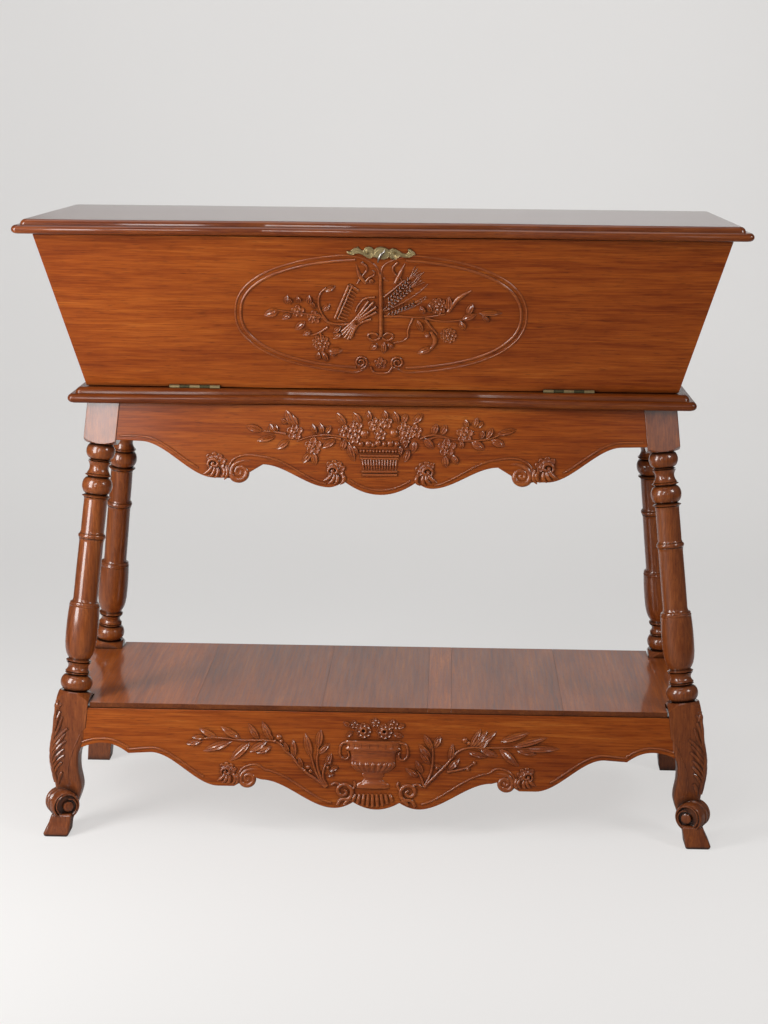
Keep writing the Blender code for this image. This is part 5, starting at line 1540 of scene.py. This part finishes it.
EARS = (((387, 302), (409, 279.5), 4), ((387, 308), (411, 287.5), 4), ((387, 314.5), (414, 303), 2))
EAR_GRAINS = 8
GRAIN_LENGTH = 4.6
GRAIN_LEAN = 2.6
GRAIN_WIDTH = 2.2
GRAIN_RISE = 0.0036
AWN_WIDTH = 1.3
AWN_REACH = 14
AWN_SPREAD = 3.2


def oval(shrink, hand, gap):
    """Flat points down one side of the oval frame, a superellipse, open by a gap at the top and the foot."""
    points = []
    for step in range(OVAL_STEPS + 1):
        a = math.radians(90 - hand * (gap + (180 - 2 * gap) * step / OVAL_STEPS))
        c, s = math.cos(a), math.sin(a)
        x = math.copysign(abs(c) ** (2 / OVAL_POWER), c) * (OVAL_HALF[0] - shrink)
        y = math.copysign(abs(s) ** (2 / OVAL_POWER), s) * (OVAL_HALF[1] - shrink)
        points.append(oval_middle + Vector((x, y)))
    return points


drop_face = board_matrix(DROP_FOOT[0], DROP_FOOT[1], DROP_LEAN)
drop_carving = Carving(drop_face)
oval_middle = drop_carving.at(OVAL_CENTRE)
for hand, top, foot in zip((-1, 1), OVAL_TOP, OVAL_FOOT):
    head = [drop_carving.at(pixel) for pixel in top]
    tail = [drop_carving.at(pixel) for pixel in foot]
    outer = head + oval(0, hand, OVAL_OUTER_BREAK) + tail
    drop_carving.line(outer, OVAL_OUTER_RADIUS, lift=OVAL_LIFT)
    drop_carving.line(oval(OVAL_STEP, hand, OVAL_INNER_BREAK), OVAL_INNER_RADIUS, lift=OVAL_LIFT)
for path, thick, ends in DROP_STEMS:
    drop_carving.stem(path, thick, ends)
for base, tip, width in DROP_LEAVES:
    drop_carving.leaf(base, tip, width)
for path, width in DROP_BLADES:
    drop_carving.blade(path, width)
for x, y, radius in DROP_FLOWERS:
    drop_carving.round(flower_blank, x, y, radius, PETAL_RISE)
for x, y, radius in DROP_CLUSTERS:
    drop_carving.round(cluster_blank, x, y, radius, PETAL_RISE)
for start, end in RAKE_TEETH:
    drop_carving.stem((start, end), TOOTH_WIDTH, (1, 0.7))
for start, end, awns in EARS:
    run = Vector(end) - Vector(start)
    ahead = run.normalized()
    across = Vector((-run.y, run.x)).normalized()
    for step in range(EAR_GRAINS):
        foot = Vector(start) + run * step / EAR_GRAINS
        for side in (-1, 1):
            tip = foot + ahead * GRAIN_LENGTH + across * side * GRAIN_LEAN
            drop_carving.leaf(tuple(foot), tuple(tip), GRAIN_WIDTH, GRAIN_RISE)
    for step in range(awns):
        whisker = Vector(end) + ahead * AWN_REACH + across * (step - (awns - 1) / 2) * AWN_SPREAD
        drop_carving.stem((tuple(end), tuple(whisker)), AWN_WIDTH, (1, 0.5))
for centre, hand in DROP_VOLUTES:
    coil = []
    for step in range(19):
        turn = math.radians(-90 + hand * 36 * step)
        reach = VOLUTE_RADIUS * (1 - step / 24)
        coil.append((centre[0] + reach * math.cos(turn), centre[1] - reach * math.sin(turn)))
    drop_carving.stem(coil, VOLUTE_STEM, (1, 0.8))
for index, (low, high) in enumerate(BUNDLE_ENDS):
    aside = index - len(BUNDLE_ENDS) // 2
    waist = (BUNDLE_TIE[0] + aside * BUNDLE_STEP[0], BUNDLE_TIE[1] + aside * BUNDLE_STEP[1])
    drop_carving.stem((low, waist, high), BUNDLE_STALK, (0.9, 1, 0.8))
drop_carving.leaf(*BUNDLE_BAND)
drop_carving.finish("drop_front_carving", carved_walnut, "front_flap")

# Lid: one broad walnut plank with the same serpentine, moulded edge. It is hinged at the back, and its pockets
# leave room for the leaves of the hinges.
LID_HALF = (0.620, 0.264)
LID_CUSP = 0.197
LID_THICKNESS = 0.024
LID_NOSE = 0.0145
LID_HINGE_ROOM = 0.0015
LID_GLOSS = (0.30, 0.85, 0.08)
LID_TONE = 0.72
lid_walnut = walnut_finish("lid_walnut", tinted(WALNUT_SHADES, LID_TONE), LID_GLOSS, offset=(0.5, 0.9, 0.1))
lid_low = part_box("lid")[0]
lid = moulded_board("lid_wood", LID_HALF, LID_CUSP, lid_low.z, LID_THICKNESS, LID_NOSE)
for side in ("left", "right"):
    let_in(lid, f"lid_hinge_{side}_moving_leaf", LID_HINGE_ROOM)
finish_piece(lid, lid_walnut, "lid", ["lid"], planed=True)

# Catch plate: a cast brass plate, pinned to the drop front over the catch. Its outline is a row of small
# scrolls with a raised rim, and two bosses carry the pins. The brass has gone dull and greenish.
PLATE_OUTLINE = (
    (346.8, 251.2), (348.8, 251.0), (350.5, 251.4), (351.6, 249.8), (353.9, 248.3), (357.1, 247.5),
    (357.8, 246.3), (358.8, 247.8), (360.8, 249.5), (363.1, 250.8), (364.0, 249.8), (365.1, 247.8),
    (368.3, 246.6), (371.7, 247.2), (373.6, 249.5), (374.6, 249.7), (376.3, 247.8), (379.8, 246.8),
    (382.9, 246.9), (386.1, 247.8), (388.4, 249.5), (389.8, 249.5), (392.4, 248.2), (395.8, 248.9),
    (398.7, 250.6), (402.2, 252.9), (405.6, 253.8), (407.6, 252.9), (408.8, 251.2), (407.8, 249.8),
    (409.1, 248.7), (411.3, 249.5), (413.6, 251.8), (415.4, 254.4), (413.6, 254.9), (410.8, 256.7),
    (406.8, 257.4), (402.7, 257.0), (400.4, 256.1), (398.1, 257.5), (395.8, 259.0), (393.0, 259.1),
    (390.7, 258.4), (389.2, 256.7), (387.8, 257.8), (384.9, 258.7), (382.1, 259.0), (377.5, 258.1),
    (374.6, 257.2), (372.9, 256.8), (370.6, 258.1), (367.7, 257.8), (364.9, 256.1), (362.0, 254.4),
    (358.0, 253.2), (355.1, 253.5), (352.8, 254.9), (350.8, 254.7), (349.1, 253.8), (347.3, 252.4),
)
PLATE_THICKNESS = 0.0016
PLATE_RIM = 0.0006
PLATE_BOSSES = ((369.2, 252.4), (393.4, 254.2))
PLATE_RINGS = (4.1, 2.7)
RING_POINTS = 12
FINE_RIM = PLATE_RIM * 0.8
STUD_RISE = PLATE_THICKNESS + 0.0012
PLATE_STUDS = ((410.3, 253.5, 1.1), (350.6, 252.9, 1.1))
PLATE_SCROLLS = (
    ((374.0, 254.6), (377.0, 251.0), (381.0, 249.4), (386.0, 250.8), (388.6, 254.0)),
    ((364.5, 253.6), (360.5, 251.6), (356.5, 250.0), (353.2, 251.2)),
    ((398.5, 253.4), (402.5, 255.2), (406.6, 255.4), (410.0, 251.4)),
)
BRASS = (0.62, 0.48, 0.24, 1)
TARNISH = (0.13, 0.115, 0.055, 1)

aged_metal = bpy.data.node_groups.new("aged_metal", "ShaderNodeTree")
entry, leave = group_sockets(aged_metal,
                             (("Vector", "NodeSocketVector"), ("Clean", "NodeSocketColor"),
                              ("Tarnish", "NodeSocketColor"), ("Age", "NodeSocketFloat")),
                             (("Color", "NodeSocketColor"), ("Roughness", "NodeSocketFloat")))
blotch = stretched_noise(aged_metal, entry.outputs["Vector"], (260, 260, 260), 4)
shelter = shader_node(aged_metal, "ShaderNodeAmbientOcclusion", (("Distance", 0.003),), samples=8)
sunk = spread(aged_metal, shelter.outputs["AO"], 0.95, 0.55)
film = spread(aged_metal, blotch, 0.42, 0.90)
grime = maths(aged_metal, "MAXIMUM", film, sunk)
aged = maths(aged_metal, "MULTIPLY", grime, entry.outputs["Age"])
dull_tone = blend(aged_metal, aged, entry.outputs["Clean"], entry.outputs["Tarnish"])
matted = shader_node(aged_metal, "ShaderNodeMapRange", (("Value", aged), ("To Min", 0.28), ("To Max", 0.55)))
aged_metal.links.new(dull_tone, leave.inputs["Color"])
aged_metal.links.new(matted.outputs["Result"], leave.inputs["Roughness"])


def metal_finish(name, clean, tarnish, age, bare=1.0):
    """Old metal, dull where it is sheltered; bare is its share that no film covers."""
    material = new_material(name)
    tree = material.node_tree
    place = shader_node(tree, "ShaderNodeTexCoord")
    skin = shader_node(tree, "ShaderNodeGroup", node_tree=aged_metal)
    tree.links.new(place.outputs["Object"], skin.inputs["Vector"])
    for socket, value in (("Clean", clean), ("Tarnish", tarnish), ("Age", age)):
        skin.inputs[socket].default_value = value
    surface(tree, shader_node(tree, "ShaderNodeBsdfPrincipled", (
        ("Base Color", skin.outputs["Color"]), ("Roughness", skin.outputs["Roughness"]), ("Metallic", bare))))
    return material


plate_brass = metal_finish("plate_brass", BRASS, TARNISH, age=0.55, bare=0.6)
pin_and_highlight_brass = metal_finish("pin_and_highlight_brass", BRASS, TARNISH, age=0.2)
plate_work = Carving(drop_face)
plate_edge = [plate_work.at(pixel) for pixel in PLATE_OUTLINE]
plate = flat_board("catch_plate_brass", plate_edge, PLATE_THICKNESS, PLATE_THICKNESS / 4)
put(plate, Matrix.Translation((0, 0, PLATE_THICKNESS)))
plate_work.parts.append(plate)
plate_work.finish("catch_plate_brass", plate_brass, "front_flap", ["catch_plate"])
# The rim, boss rings, studs and scrolls take the cleaner, brighter brass of the pins: a painted highlight
# along the raised edges, as if lit from above.
rim_work = Carving(drop_face)
rim_line = inside_line(plate_edge[-1:] + plate_edge + plate_edge[:1], (-PLATE_RIM, -PLATE_RIM))
rim_work.parts.append(drawn_line("rim", rim_line, PLATE_RIM, True, lift=PLATE_THICKNESS))
for boss in PLATE_BOSSES:
    centre = plate_work.at(boss)
    scale = plate_work.pixel_size(boss)
    for ring in PLATE_RINGS:
        turns = [math.radians(360 * step / RING_POINTS) for step in range(RING_POINTS)]
        loop = [centre + Vector((math.cos(a), math.sin(a))) * ring * scale for a in turns]
        rim_work.parts.append(drawn_line("ring", loop, FINE_RIM, True, lift=PLATE_THICKNESS))
for x, y, radius in PLATE_STUDS:
    rim_work.round(berry_blank, x, y, radius, STUD_RISE)
for path in PLATE_SCROLLS:
    points = [plate_work.at(pixel) for pixel in path]
    rim_work.parts.append(drawn_line("scroll", points, FINE_RIM, lift=PLATE_THICKNESS))
rim_work.finish("catch_plate_rim", pin_and_highlight_brass, "front_flap")
for side in ("left", "right"):
    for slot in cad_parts[f"plate_pin_{side}"].material_slots:
        slot.material = pin_and_highlight_brass

# Turn catch: a small forged steel lever on a spindle through the drop front, with a cam behind it and a
# strike under the lid that the cam holds.
LEVER_PATH = ((385.0, 248.6), (384.1, 251.2), (381.2, 253.6), (379.3, 257.0), (377.8, 261.3))
LEVER_SHARES = (0.55, 0.7, 1.15, 1.25, 0.5)
LEVER_RADIUS = 0.0019
LEVER_LIFT = 0.0048
LEVER_KNOBS = ((381.2, 253.6, 1.5, 0.0078), (379.3, 257.0, 1.6, 0.0075))
SPINDLE = ((0.0024, -0.022), (0.0024, 0.0050))
STEEL = (0.52, 0.50, 0.47, 1)
RUST = (0.07, 0.045, 0.03, 1)
steel = metal_finish("worn_steel", STEEL, RUST, age=0.7)
lever_work = Carving(drop_face)
points = [lever_work.at(pixel) for pixel in LEVER_PATH]
lever_work.parts.append(drawn_line("lever", points, LEVER_RADIUS, shares=LEVER_SHARES, lift=LEVER_LIFT))
for x, y, radius, rise in LEVER_KNOBS:
    lever_work.round(berry_blank, x, y, radius, rise)
spindle = lathe("spindle", SPINDLE, 16)
put(spindle, Matrix.Translation(lever_work.at(LEVER_KNOBS[0][:2]).to_3d()))
lever_work.parts.append(spindle)
lever_work.finish("catch_lever_steel", steel, "turn_catch", ["catch_lever"])
for node in ("catch_cam", "catch_strike"):
    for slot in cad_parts[node].material_slots:
        slot.material = steel

# Hinges: four drawn brass butts with five knuckles, let into the edges of the boards and screwed with
# steel screws.
HINGE_GRIME = (0.035, 0.032, 0.02, 1)
hinge_bright = metal_finish("hinge_bright", BRASS, TARNISH, age=0.55, bare=0.8)
hinge_dull = metal_finish("hinge_dull", TARNISH, HINGE_GRIME, age=1.0, bare=0.6)
for hinge in ("front_hinge_left", "front_hinge_right", "lid_hinge_left", "lid_hinge_right"):
    fittings = {"fixed_leaf": hinge_bright, "moving_leaf": hinge_dull, "pin": steel}
    fittings.update({f"{half}_screw_{end}": steel for half in ("fixed", "moving") for end in ("a", "b")})
    for fitting, metal in fittings.items():
        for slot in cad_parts[f"{hinge}_{fitting}"].material_slots:
            slot.material = metal

# The carver's blanks are put away: only their copies are part of the table.
for blank in (leaf_blank, berry_blank, petal_blank, flower_blank, rose_blank, cluster_blank):
    bpy.data.objects.remove(blank)
